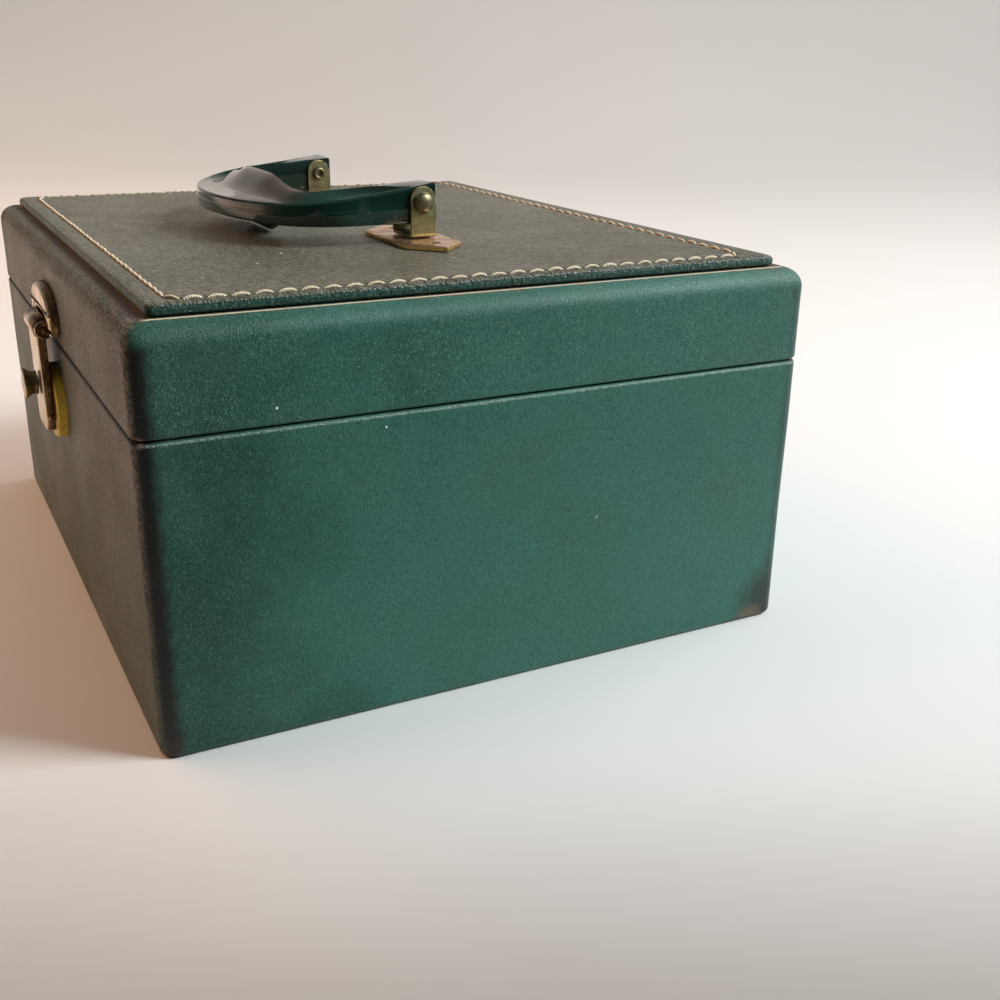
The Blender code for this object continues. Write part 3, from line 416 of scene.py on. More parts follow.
class Field:
    """Value that varies over a surface. Sums written with Python's signs add math nodes to its recipe."""

    def __init__(self, recipe, socket):
        self.recipe = recipe
        self.socket = socket

    def sum(self, operation, other=0.0):
        """Result of one sum on this value and another."""
        return self.recipe.field("ShaderNodeMath", {0: self, 1: other}, operation=operation)

    def __add__(self, other):
        return self.sum("ADD", other)

    def __mul__(self, other):
        return self.sum("MULTIPLY", other)

    def __sub__(self, other):
        return self.sum("SUBTRACT", other)

    def __rsub__(self, other):
        return self * -1.0 + other

    def __abs__(self):
        return self.sum("ABSOLUTE")

    def step(self, low, high, from_value=0.0, to_value=1.0):
        """Smooth step: from_value at low and to_value at high."""
        inputs = {"Value": self, "From Min": low, "From Max": high, "To Min": from_value, "To Max": to_value}
        return self.recipe.field("ShaderNodeMapRange", inputs, interpolation_type="SMOOTHSTEP")


class Recipe:
    """Node tree of one material, with patterns in metres on Object coordinates.

    blend and paint lay its colours, emboss its relief, and finish links both to the shader.
    """

    def __init__(self, name, **shader):
        self.material = bpy.data.materials.new(name)
        self.material.use_nodes = True
        self.tree = self.material.node_tree
        self.shader = self.tree.nodes["Principled BSDF"]
        self.coordinates = self.node("ShaderNodeTexCoord").outputs
        self.place = Field(self, self.coordinates["Object"])
        self.colour = None
        self.relief = None
        self.set_shader(shader)

    def set_shader(self, values):
        """Sets sockets of the shader, or links them."""
        for socket, value in values.items():
            self.put(self.shader, socket.replace("_", " "), value)

    def put(self, node, socket, value):
        """Links a socket, or sets its number or colour."""
        target = node.inputs[socket]
        if isinstance(value, Field):
            self.tree.links.new(value.socket, target)
        elif target.type == "RGBA":
            target.default_value = (*value, 1.0)
        else:
            target.default_value = value

    def node(self, kind, inputs=(), **settings):
        """New node with its settings and inputs."""
        made = self.tree.nodes.new(kind)
        for setting, value in settings.items():
            setattr(made, setting, value)
        for socket, value in dict(inputs).items():
            self.put(made, socket, value)
        return made

    def field(self, kind, inputs=(), output=0, **settings):
        """What a new node gives."""
        return Field(self, self.node(kind, inputs, **settings).outputs[output])

    def noise(self, scale, detail=2.0, rough=0.5, at=None, bend=0.0):
        """Cloudy pattern from 0 to 1 with so many clouds to the metre."""
        inputs = {"Vector": at or self.place, "Scale": scale, "Detail": detail}
        return self.field("ShaderNodeTexNoise", {**inputs, "Roughness": rough, "Distortion": bend})

    def ribs(self, scale, bend, direction):
        """Even waves across a direction."""
        inputs = {"Vector": self.place, "Scale": scale, "Distortion": bend}
        return self.field("ShaderNodeTexWave", inputs, "Fac", bands_direction=direction)

    def axes(self, at=None):
        """X, Y and Z of the place."""
        split = self.node("ShaderNodeSeparateXYZ", {0: at or self.place})
        return [Field(self, output) for output in split.outputs]

    def marks(self):
        """The three marks that the points of a piece carry."""
        return self.axes(self.field("ShaderNodeAttribute", output="Vector", attribute_name="run"))

    def facing(self):
        """How far the surface faces along X, Y and Z."""
        return self.axes(Field(self, self.coordinates["Normal"]))

    def turned_place(self, angles=(0.0, 0.0, 0.0), stretch=(1.0, 1.0, 1.0)):
        """Object coordinates turned by degrees and stretched."""
        inputs = {"Vector": self.place, "Rotation": [math.radians(a) for a in angles], "Scale": stretch}
        return self.field("ShaderNodeMapping", inputs)

    def bent_place(self, scale, size):
        """Place pushed about by a cloudy pattern, so that a net drawn on it isn't straight."""
        inputs = {"Vector": self.place, "Scale": scale, "Detail": 2.0}
        cloud = self.field("ShaderNodeTexNoise", inputs, "Color")
        push = self.field("ShaderNodeVectorMath", {0: cloud, 1: (0.5, 0.5, 0.5)}, operation="SUBTRACT")
        push = self.field("ShaderNodeVectorMath", {0: push, "Scale": size}, operation="SCALE")
        return self.field("ShaderNodeVectorMath", {0: self.place, 1: push}, operation="ADD")

    def hairlines(self, scale, length, turn=(0.0, 0.0, 0.0)):
        """Net of thin broken lines along Z, or where the turn takes it: a drawn-out pattern at its mean."""
        strokes = self.noise(scale, 2.0, 0.55, self.turned_place(turn, (1.0, 1.0, 1.0 / length)), 0.6)
        return abs(strokes - 0.5).step(0.0, 0.03, 1.0, 0.0) * self.noise(1500.0, 2.0).step(0.36, 0.56)

    def spot(self, middle, radius, ragged=0.0):
        """Spot round a point: 1 in its middle and 0 past the radius, with a ragged rim."""
        away = self.field("ShaderNodeVectorMath", {0: self.place, 1: middle}, "Value", operation="DISTANCE")
        return (away + ragged).step(0.35 * radius, radius, 1.0, 0.0)

    def mix(self, share, first, second):
        """Colour between two colours."""
        return self.field("ShaderNodeMix", {0: share, 6: first, 7: second}, 2, data_type="RGBA")

    def blend(self, share, first, second):
        """Starts the colour between two colours."""
        self.colour = self.mix(share, first, second)

    def paint(self, colour, share, *others):
        """Lays a colour over the one so far, in the product of the shares."""
        for other in others:
            share = share * other
        self.colour = self.mix(share, self.colour, colour)

    def emboss(self, height, distance):
        """Adds the relief of a height from 0 to 1 that stands so many metres high."""
        inputs = {"Height": height, "Distance": distance, "Strength": 1.0}
        if self.relief:
            inputs["Normal"] = self.relief
        self.relief = self.field("ShaderNodeBump", inputs)

    def finish(self, **shader):
        """Links what varies over the surface and gives the material."""
        self.set_shader({"Base_Color": self.colour, **shader})
        if self.relief:
            self.put(self.shader, "Normal", self.relief)
        return self.material


def side_leatherette():
    """Green leatherette of base and lid: short upright strokes, slanting creases on the lid, and wear.

    The rear half is painted a little lighter: a painted sheen of reflected light. The front carries a
    painted warm reflection. The vertical corners are painted darker, most at the near front: painted shade.
    The rims are worn to the pale backing, with a painted sparkling highlight on the long sides. The fold at
    the panel's foot is worn pale on the sides and painted as a dark shadow line on the front, and the far
    bottom corner is scuffed.
    """
    recipe = Recipe(
        "green_leatherette", IOR=1.5, Specular_IOR_Level=0.36, Sheen_Weight=0.12, Sheen_Roughness=0.4,
    )
    x, y, z = recipe.axes()
    from_x = HALF_X - abs(x)
    from_y = HALF_Y - abs(y)
    corner = from_x.sum("MAXIMUM", from_y)
    inset = from_x.sum("MINIMUM", from_y)
    across = from_x - from_y
    near_front = y.step(-0.02, -0.08)
    on_front = across.step(-0.002, 0.002)
    on_side = across.step(-0.002, 0.002, 1.0, 0.0)
    on_top = z.step(LID_TOP - 0.0012, LID_TOP - 0.0006)
    ragged = (recipe.noise(230.0, 4.0, 0.65) - 0.5) * 0.012
    fray = (recipe.noise(900.0, 3.0) - 0.5) * 0.0006

    # Dyed ground with its strokes, creases and pits
    grain = recipe.noise(2300.0, 2.0, 0.6)
    fine = recipe.hairlines(1600.0, 2.6)
    patches = recipe.noise(60.0, 3.0).step(0.38, 0.62, 0.35, 1.0)
    creases = recipe.hairlines(1150.0, 2.6, (28.0, 10.0, 0.0))
    creases = creases * z.step(BASE_RIM, LID_RIM, 0.25, 1.0) * patches
    # Random tone, painted lighter towards the rear: a painted sheen of reflected light
    tone_and_painted_sheen = recipe.noise(13.0, 4.0, 0.6) + y.step(-0.105, 0.000, -0.18, 0.20)
    recipe.blend(tone_and_painted_sheen.step(0.34, 0.68), (0.0050, 0.058, 0.038), (0.026, 0.136, 0.104))
    recipe.paint((0.040, 0.105, 0.066), recipe.noise(26.0, 2.0).step(0.50, 0.68), 0.35)
    recipe.paint((0.095, 0.255, 0.190), fine, 0.62)
    recipe.paint((0.130, 0.300, 0.235), creases, 0.75)
    recipe.paint((0.002, 0.016, 0.011), grain.step(0.32, 0.50, 1.0, 0.0), 0.62)

    # Corners painted darker as painted shade, worn bottom corners, scuffs and specks
    dark = (corner + ragged * 0.35).step(0.0032, 0.0070, 0.95, 0.0) * across.step(-0.0005, 0.0015, 1.0, 0.35)
    below_top = z.step(LID_TOP - 0.0070, LID_TOP - 0.0035, 1.0, 0.15)
    recipe.paint((0.004, 0.006, 0.005), dark, near_front.step(0.0, 1.0, 0.45, 1.0), below_top)
    at_corner = (corner + ragged).step(0.001, 0.009, 1.0, 0.0)
    recipe.paint((0.034, 0.026, 0.020), (z + ragged).step(0.0005, 0.009, 0.55, 0.0), at_corner)
    for place, size, fray_share, colour, share in (
        ((HALF_X, HALF_Y, 0.003), 0.022, 1.0, (0.016, 0.019, 0.014), 0.85),
        ((HALF_X, HALF_Y - 0.011, 0.0), 0.007, 0.5, (0.16, 0.11, 0.065), 0.7),
        ((HALF_X - 0.0015, -HALF_Y + 0.0012, BASE_RIM), 0.0022, 0.18333, (0.34, 0.22, 0.15), 0.9),
        ((0.106, -HALF_Y, 0.0835), 0.0055, 0.45833, (0.010, 0.007, 0.005), 0.95),
        ((HALF_X, -0.0677, 0.0943), 0.0005, 0.04167, (0.80, 0.86, 0.82), 1.0),
        ((HALF_X, -0.0380, 0.0854), 0.0005, 0.04167, (0.75, 0.82, 0.78), 1.0),
        ((HALF_X, 0.0300, 0.0480), 0.0009, 0.075, (0.30, 0.40, 0.22), 0.6),
    ):
        recipe.paint(colour, recipe.spot(place, size, ragged * fray_share), share)

    # Painted warm reflection on the front: a brown pebbled layer over the middle of its height
    front = across.step(-0.001, 0.002) * near_front
    pebble = recipe.noise(1000.0, 2.0, 0.6, recipe.turned_place(stretch=(0.5, 1.0, 1.0))).step(0.38, 0.62)
    painted_warm_reflection = recipe.mix(pebble, (0.020, 0.014, 0.010), (0.215, 0.142, 0.088))
    recipe.paint(painted_warm_reflection, front, z.step(0.03, 0.10, 0.37, 0.66))

    # Rim worn pale with a painted sparkling highlight on the long sides, shaded seam, and the fold at the
    # panel's foot
    painted_sparkle = recipe.noise(2300.0, 2.0).step(0.38, 0.62, 0.15, 0.75)
    rim = (abs(z - (BASE_RIM - 0.0007)) + fray).step(0.0001, 0.0005, 1.0, 0.0)
    recipe.paint((0.30, 0.40, 0.34), rim, painted_sparkle, on_side)
    seam = abs(z - (BASE_RIM + LID_RIM) / 2).step(0.0008, 0.0014, 0.95, 0.0)
    recipe.paint((0.008, 0.006, 0.005), seam, on_front)
    stained = recipe.noise(45.0, 3.0).step(0.42, 0.62, 0.25, 0.9)
    recipe.paint((0.105, 0.075, 0.042), (inset + ragged).step(0.0040, 0.0072), on_top, stained)
    crease = abs(inset + fray - FOLD_INSET)
    recipe.paint((0.78, 0.64, 0.45), crease.step(0.0003, 0.0008, 0.95, 0.0), on_top, on_side)
    # On the front the fold is painted dark brown instead: a painted shadow line at the panel's foot
    recipe.paint((0.034, 0.015, 0.010), crease.step(0.0003, 0.0016, 0.85, 0.0), on_top, on_front)

    recipe.emboss(recipe.noise(150.0, 3.0), 0.00014)
    recipe.emboss(fine, 0.00003)
    recipe.emboss(grain, 0.00016)
    recipe.emboss(pebble * front, 0.00018)
    recipe.emboss(creases, 0.00004)
    return recipe.finish(Roughness=recipe.noise(35.0, 4.0, 0.6).step(0.3, 0.75, 0.38, 0.52))


def panel_leatherette():
    """Olive grey leatherette of the panel: close long grain with dark pits, dusty, with small pale specks."""
    recipe = Recipe(
        "panel_leatherette", IOR=1.5, Sheen_Weight=0.17, Sheen_Roughness=0.45, Sheen_Tint=(1.0, 0.90, 0.76),
    )
    x, y, z = recipe.axes()
    cells = {"Vector": recipe.bent_place(500.0, 0.0009), "Scale": 620.0}
    walls = recipe.field("ShaderNodeTexVoronoi", cells, "Distance", feature="DISTANCE_TO_EDGE")
    grain = recipe.noise(1050.0, 2.0, 0.60, recipe.turned_place(stretch=(0.34, 1.0, 1.0)), 0.2)
    on_edge = z.step(PANEL_TOP - 0.0012, PANEL_TOP - 0.0002, 1.0, 0.0)
    recipe.blend(recipe.noise(16.0, 4.0, 0.6).step(0.32, 0.68), (0.048, 0.056, 0.037), (0.075, 0.083, 0.055))
    recipe.paint((0.007, 0.062, 0.046), on_edge)
    recipe.paint((0.008, 0.010, 0.008), grain.step(0.36, 0.47, 1.0, 0.0), 0.80)
    recipe.paint((0.20, 0.22, 0.17), grain.step(0.54, 0.64), 0.40)
    recipe.paint((0.55, 0.57, 0.50), recipe.noise(700.0, 2.0).step(0.735, 0.775), 0.8)
    left, right, front, back = STITCH_LINES
    beyond_x = abs(x - (left + right) / 2) - (right - left) / 2
    beyond_y = abs(y - (front + back) / 2) - (back - front) / 2
    beyond = abs(beyond_x.sum("MAXIMUM", beyond_y))
    # Painted shade: the leatherette along the sewn groove is darkened
    recipe.paint((0.030, 0.020, 0.012), beyond.step(0.0003, 0.0016, 0.55, 0.0))
    for place in ((0.0563, -0.043, PANEL_TOP), (0.0715, -0.055, PANEL_TOP)):
        recipe.paint((0.85, 0.86, 0.80), recipe.spot(place, 0.0007))
    on_face = 1.0 - on_edge * 0.75
    recipe.emboss(recipe.noise(170.0, 3.0), 0.00012)
    recipe.emboss(walls.step(0.02, 0.30) * on_face, 0.00016)
    recipe.emboss(grain * on_face, 0.00075)
    return recipe.finish(Roughness=recipe.noise(35.0, 4.0, 0.6).step(0.3, 0.75, 0.34, 0.48))


def brass(
    name, bright, dull, worn, share, rough=(0.18, 0.5), pits=0.4, worn_slope_and_highlight=None, face=None, metallic=0.92
):
    """Old brass: bright metal under a cloudy brown tarnish, with fine scratches and dark pits.

    The slope colour, where given, is laid on slanting faces: their tarnish is worn off, and the colour is
    also a painted highlight along the bevels. face is the colour of the front face, which hands keep bright;
    it is partly a painted highlight as well.
    """
    recipe = Recipe(name, Metallic=metallic, IOR=1.5)
    clouds = recipe.noise(210.0, 5.0, 0.62)
    recipe.blend(clouds.step(share - 0.16, share + 0.16, 1.0, 0.0), bright, dull)
    recipe.paint(worn, recipe.noise(420.0, 3.0, 0.6, bend=0.6).step(0.56, 0.72), 0.7)
    # Slanting faces: worn bright, and partly a painted highlight along the bevels
    if worn_slope_and_highlight:
        recipe.paint(worn_slope_and_highlight, recipe.facing()[2].step(0.80, 0.97, 0.9, 0.0))
    # Front faces: kept bright by hands, and partly a painted highlight
    if face:
        towards_lock = recipe.facing()[1] * -1.0
        recipe.paint(face, towards_lock.step(0.45, 0.85), clouds.step(0.2, 0.5, 0.6, 0.95))
    recipe.paint((0.05, 0.03, 0.015), recipe.noise(1700.0, 2.0).step(0.66, 0.76, 0.0, pits))
    strokes = recipe.noise(900.0, 3.0, at=recipe.turned_place((12.0, 25.0, 40.0), (1.0, 0.08, 1.0)))
    recipe.emboss(recipe.noise(600.0, 3.0), 0.00005)
    recipe.emboss(strokes, 0.000012)
    return recipe.finish(Roughness=clouds.step(0.3, 0.7, rough[1], rough[0]) + strokes * 0.12)


def moulded_plastic():
    """Deep green glossy plastic: faint flow clouds, painted reflection on top, hair scratches, dull handling
    marks.
    """
    recipe = Recipe("moulded_green_plastic", IOR=1.53, Coat_Weight=0.6, Coat_Roughness=0.03)
    flow = recipe.noise(60.0, 3.0, 0.5, recipe.turned_place((0, 0, 30), (1.0, 0.3, 1.0)), 1.2)
    recipe.blend(flow.step(0.35, 0.7), (0.003, 0.014, 0.009), (0.008, 0.040, 0.026))
    near_middle = abs(recipe.axes()[0]).step(0.026, 0.044, 1.0, 0.0)
    patches = recipe.noise(130.0, 4.0, 0.65).step(0.30, 0.62, 0.45, 0.9)
    # Painted reflection: the up-facing middle of the bow is painted pale grey-brown
    recipe.paint((0.125, 0.100, 0.088), recipe.facing()[2].step(0.45, 0.9), near_middle, patches)
    recipe.paint((0.25, 0.26, 0.20), recipe.noise(950.0, 2.0).step(0.73, 0.78), 0.5)
    hair = recipe.noise(2400.0, 2.0, at=recipe.turned_place((10.0, 30.0, 62.0), (1.0, 0.02, 1.0)))
    scratch = hair.step(0.68, 0.74)
    recipe.emboss(recipe.noise(120.0, 2.0), 0.00006)
    recipe.emboss(scratch, 0.000006)
    return recipe.finish(Roughness=recipe.noise(90.0, 4.0, 0.6).step(0.5, 0.75, 0.07, 0.2) + scratch * 0.25)


def thread():
    """Cream two-ply sewing thread: the twist runs slantwise along each stitch, with a little fluff.

    The marks are the way along the thread, the way round it and its height over the needle holes.
    """
    recipe = Recipe("cream_thread", Roughness=0.75, Sheen_Weight=0.4, Sheen_Roughness=0.5)
    along, around, arch = recipe.marks()
    twist = along * 9000.0 + around * math.tau
    ply = twist.sum("SINE") * 0.5 + 0.5
    fluff = recipe.noise(5200.0, 2.0)
    recipe.blend(recipe.noise(90.0, 3.0).step(0.35, 0.7), (0.82, 0.71, 0.48), (0.90, 0.82, 0.60))
    # Painted shade: the grooves between the plies are painted brown
    recipe.paint((0.36, 0.27, 0.15), ply.step(0.0, 0.35, 0.75, 0.0))
    recipe.paint((0.42, 0.33, 0.20), fluff.step(0.3, 0.5, 0.35, 0.0))
    # Painted shade: the thread is painted almost black towards its ends, where it dives into the holes
    recipe.paint((0.020, 0.014, 0.009), arch.step(0.22, 0.52, 0.97, 0.0))
    recipe.emboss(ply, 0.00012)
    recipe.emboss(fluff, 0.00006)
    return recipe.finish()


def velvet():
    """Short golden beige pile: nap in soft brushed patches, fine tufts and a strong sheen."""
    sheen = {"Sheen_Weight": 0.7, "Sheen_Roughness": 0.35, "Sheen_Tint": (0.95, 0.85, 0.70)}
    recipe = Recipe("beige_velvet", Roughness=0.95, **sheen)
    brushed = recipe.noise(38.0, 3.0, 0.6, bend=0.8)
    tufts = recipe.noise(2600.0, 2.0, 0.6)
    recipe.blend(brushed.step(0.32, 0.70), (0.36, 0.25, 0.145), (0.50, 0.37, 0.235))
    recipe.paint((0.22, 0.145, 0.08), tufts.step(0.3, 0.6, 0.4, 0.0))
    recipe.emboss(tufts, 0.00022)
    recipe.emboss(brushed, 0.0006)
    return recipe.finish()


def satin():
    """Lining satin: fine close weave, soft lengthwise sheen and faint folds."""
    recipe = Recipe("champagne_satin", Roughness=0.34, Anisotropic=0.6, Sheen_Weight=0.3, Sheen_Roughness=0.3)
    both = recipe.ribs(620.0, 0.4, "Y") + recipe.ribs(210.0, 0.3, "X") * 0.4
    clouds = recipe.noise(45.0, 3.0, 0.5, bend=0.5)
    recipe.blend(clouds.step(0.3, 0.72), (0.60, 0.47, 0.31), (0.72, 0.60, 0.43))
    recipe.paint((0.40, 0.30, 0.18), both.step(0.0, 0.5, 0.25, 0.0))
    recipe.emboss(clouds, 0.0004)
    recipe.emboss(both, 0.00005)
    return recipe.finish()


def ribbon():
    """Ribbed ribbon: close ribs across its width."""
    recipe = Recipe("tan_ribbon", Roughness=0.6, Sheen_Weight=0.4, Sheen_Roughness=0.4)
    along = recipe.marks()[0]
    rib = (along * 8200.0).sum("SINE")
    recipe.blend(rib.step(-0.9, 0.4), (0.26, 0.17, 0.09), (0.52, 0.38, 0.23))
    recipe.paint((0.30, 0.20, 0.11), recipe.noise(1900.0, 2.0).step(0.35, 0.6, 0.3, 0.0))
    recipe.emboss(rib, 0.00008)
    return recipe.finish()


def bookcloth():
    """Dark green bookcloth under the case: plain weave, rubbed paler in places."""
    recipe = Recipe("dark_bookcloth", Roughness=0.85)
    weave = recipe.ribs(330.0, 0.6, "X") * recipe.ribs(330.0, 0.6, "Y")
    recipe.blend(weave.step(0.0, 0.6), (0.012, 0.028, 0.022), (0.035, 0.070, 0.056))
    recipe.paint((0.11, 0.13, 0.10), recipe.noise(30.0, 5.0, 0.65).step(0.5, 0.75), 0.5)
    recipe.emboss(weave, 0.00012)
    return recipe.finish()


def board():
    """Raw grey-brown pasteboard with fibres."""
    recipe = Recipe("raw_board", Roughness=0.9)
    fibres = recipe.noise(800.0, 4.0, 0.7, recipe.turned_place((0, 0, 20), (1.0, 0.2, 1.0)))
    recipe.blend(fibres.step(0.3, 0.7), (0.30, 0.22, 0.13), (0.50, 0.40, 0.27))
    recipe.emboss(fibres, 0.0001)
    return recipe.finish()


def dark_recess():
    """Deep shade in needle holes and screw slots, with a little dust."""
    recipe = Recipe("dark_recess", Roughness=0.9)
    dust = recipe.noise(1400.0, 2.0)
    recipe.blend(dust.step(0.4, 0.8), (0.006, 0.007, 0.006), (0.030, 0.026, 0.018))
    recipe.emboss(dust, 0.00005)
    return recipe.finish()


def hand_laid(points, size, low, high):
    """Points of the case's sides pushed in and out by a soft wave, as hand-covered board is never quite flat.

    The wave is sin(61x+17z) sin(53y-29z) + 0.6 sin(113z+31x+23y), and it fades towards both rims.
    """
    x, y, z = np.moveaxis(points, -1, 0)
    out_x = np.clip(np.abs(x) - (HALF_X - CORNER_RADIUS), 0.0, None) * np.sign(x)
    out_y = np.clip(np.abs(y) - (HALF_Y - CORNER_RADIUS), 0.0, None) * np.sign(y)
    reach = np.hypot(out_x, out_y)
    outer = reach > CORNER_RADIUS * 0.99
    fade = np.clip((z - low) / 0.01, 0.0, 1.0) * np.clip((high - z) / 0.01, 0.0, 1.0) * outer
    wave = np.sin(61 * x + 17 * z) * np.sin(53 * y - 29 * z) + 0.6 * np.sin(113 * z + 31 * x + 23 * y)
    push = size * wave * fade / np.maximum(reach, 0.0001)
    return np.stack([x + push * out_x, y + push * out_y, z], axis=-1)


def make_coverings(finish):
    """Leatherette skins of base and lid: a section down the outside, over the rim and back inside."""
    outline = [
        (UNDERSIDE_FLANGE, 0.0), (0.0, 0.0), (0.0, BASE_RIM), (TURNED_IN, BASE_RIM),
        (TURNED_IN, BASE_RIM - TURN_DEPTH), (BOARD_INSIDE, BASE_RIM - TURN_DEPTH),
        (BOARD_INSIDE, BASE_RIM - COVERING), (COVERING, BASE_RIM - COVERING), (COVERING, COVERING),
        (UNDERSIDE_FLANGE, COVERING),
    ]
    cuts = (0.0003, 0.0020, 0.0012, 0.0012, 0.0003, 0.0002, 0.0002, 0.0002, 0.0002, 0.0003)
    section = with_steps(softened(outline, cuts, 6), 0.006)
    points = hand_laid(round_case(section), 0.00012, 0.004, BASE_RIM - 0.002)
    patch = grid(points, round_rows=True, round_columns=True)
    add_piece("base_leatherette", [patch], "base", finish, ("base_covering",))

    def edge_arc(radius, angles):
        inset = LID_EDGE - radius * np.cos(angles)
        return np.stack([inset, LID_TOP - LID_EDGE + radius * np.sin(angles)], axis=1)

    edge = np.radians(np.linspace(90.0, 0.0, 10))
    rim = [
        (0.0, LID_RIM + 0.003), (0.0, LID_RIM), (TURNED_IN, LID_RIM), (TURNED_IN, LID_RIM + TURN_DEPTH),
        (BOARD_INSIDE, LID_RIM + TURN_DEPTH), (0.004, LID_RIM + 0.012),
    ]
    section = np.concatenate([
        [(TOP_FLANGE, LID_TOP), (0.0085, LID_TOP), (0.0074, LID_TOP - 0.0003), (0.0067, LID_TOP)],
        edge_arc(LID_EDGE, edge),
        [(0.0, height) for height in np.linspace(LID_TOP - LID_EDGE, LID_RIM, 6)[1:-1]],
        softened(rim, (0.0, 0.0011, 0.0011, 0.0003, 0.0003, 0.0), 6)[6:-6],
        [(BOARD_INSIDE, LID_RIM + COVERING), (COVERING, LID_RIM + COVERING), (COVERING, LID_TOP - LID_EDGE)],
        edge_arc(LID_EDGE - COVERING, edge[-2::-1]),
        [(TOP_FLANGE, LID_TOP - COVERING)],
    ])
    points = hand_laid(round_case(section), 0.00010, LID_RIM + 0.002, LID_TOP - 0.004)
    add_piece("lid_leatherette", [closed(points)], "lid", finish, ("lid_covering",))


def make_panel(finish):
    """Raised panel: rings from its foot over a soft edge to the sewn groove and on to the middle.

    The groove is d exp(-(o/w)^2) deep at an offset o from the stitch line, and the leatherette swells a
    little on both sides of it.
    """
    left, right, front, back = STITCH_LINES
    top = PANEL_TOP
    edge = [
        (0.0300, PANEL_FOOT), (0.0008, PANEL_FOOT), (0.0002, PANEL_FOOT + 0.0002),
        (0.0000, PANEL_FOOT + 0.0007), (0.0000, top - 0.0015), (0.0001, top - 0.0010),
        (0.00035, top - 0.0006), (0.0008, top - 0.0003), (0.0014, top - 0.0001), (0.0022, top),
    ]
    offsets = np.array([-20, -12, -7, -3, 0, 3, 7, 12, 22, 60, 200, 500, 800]) / 10000.0
    groove = 0.00045 * np.exp(-((offsets / 0.0007) ** 2))
    swell = 0.00012 * np.exp(-(((np.abs(offsets) - 0.002) / 0.0015) ** 2))

    def edge_ring(inset):
        return plan_ring(panel_high.x - inset, panel_high.y - inset, PANEL_CORNER)

    def sewn_ring(offset):
        radius = max(0.004 - offset / 2, 0.0005)
        ring = plan_ring((right - left) / 2 - offset, (back - front) / 2 - offset, radius)
        return ring + ((left + right) / 2, (front + back) / 2)

    rings = np.concatenate([stacked(edge, edge_ring), stacked(zip(offsets, top - groove + swell), sewn_ring)])
    add_piece("panel_leatherette", [closed(rings)], "lid", finish, ("lid_panel",), 50.0)


def needle_places():
    """Needle holes round the panel: even steps along four lines, whose ends a slanting stitch joins."""
    left, right, front, back = STITCH_LINES
    cut_x, cut_y = STITCH_CORNER
    lines = [
        ((left + cut_x, front), (right - cut_x, front)),
        ((right, front + cut_y), (right, back - cut_y)),
        ((right - cut_x, back), (left + cut_x, back)),
        ((left, back - cut_y), (left, front + cut_y)),
    ]
    holes = []
    for start, stop in np.array(lines):
        count = round(np.linalg.norm(stop - start) / STITCH_PITCH)
        holes.append(start + (stop - start) * np.linspace(0.0, 1.0, count + 1)[:, None])
    return np.concatenate(holes)


def make_stitches(finish, holes):
    """Thick thread from hole to hole: an arch of height rise sin(pi t)^0.7, thinner where it dives in."""
    random = np.random.default_rng(5)
    count = len(holes)
    along = np.roll(holes, -1, axis=0) - holes
    length = np.linalg.norm(along, axis=1)
    inward = np.stack([-along[:, 1], along[:, 0]], axis=1) / length[:, None]
    t = np.linspace(0.0, 1.0, 9)
    arch = np.sin(np.pi * t).clip(0.0) ** 0.7
    rise = THREAD_RISE * random.uniform(0.86, 1.12, count)[:, None]
    slant = (t - 0.5) * random.uniform(0.0001, 0.0004, count)[:, None]
    place = holes[:, None] + along[:, None] * (0.04 + 0.92 * t)[:, None] + inward[:, None] * slant[..., None]
    height = PANEL_TOP - THREAD_SINK + rise * arch
    path = np.concatenate([place, height[..., None]], axis=2)
    radius = THREAD * random.uniform(0.92, 1.08, count)[:, None] * (0.60 + 0.40 * arch)
    points = tube(path, radius, sides=8, flat=0.92)
    run = (t * length[:, None])[..., None] * np.ones(8)
    around = np.broadcast_to(np.linspace(0.0, 1.0, 8, endpoint=False), run.shape)
    marks = np.stack([run, around, np.broadcast_to(arch[:, None], run.shape)], axis=-1)
    add_piece("panel_stitches", [closed(points, marks)], "lid", finish, (), 60.0)


def make_needle_holes(finish, holes):
    """Oval hollows, drawn out along the seam, that the thread dives into."""
    angle = np.linspace(0.0, math.tau, 10, endpoint=False)
    ahead = np.roll(holes, -1, axis=0) - np.roll(holes, 1, axis=0)
    ahead /= np.linalg.norm(ahead, axis=1, keepdims=True)
    across = np.stack([-ahead[:, 1], ahead[:, 0]], axis=1)
    long, short = NEEDLE_HOLE
    oval = long * np.cos(angle)[:, None] * ahead[:, None] + short * np.sin(angle)[:, None] * across[:, None]
    rings = []
    for size, depth in ((0.3, 0.0008), (1.0, 0.0006), (0.95, 0.00035), (0.5, 0.00026), (0.001, 0.00024)):
        flat = holes[:, None] + size * oval
        rings.append(np.concatenate([flat, np.full(flat.shape[:2] + (1,), PANEL_TOP - depth)], axis=2))
    add_piece("needle_holes", [closed(np.stack(rings, axis=1))], "lid", finish)


def smooth(share):
    """Smooth step from 0 to 1: 3s^2 - 2s^3."""
    share = np.clip(share, 0.0, 1.0)
    return share * share * (3.0 - 2.0 * share)


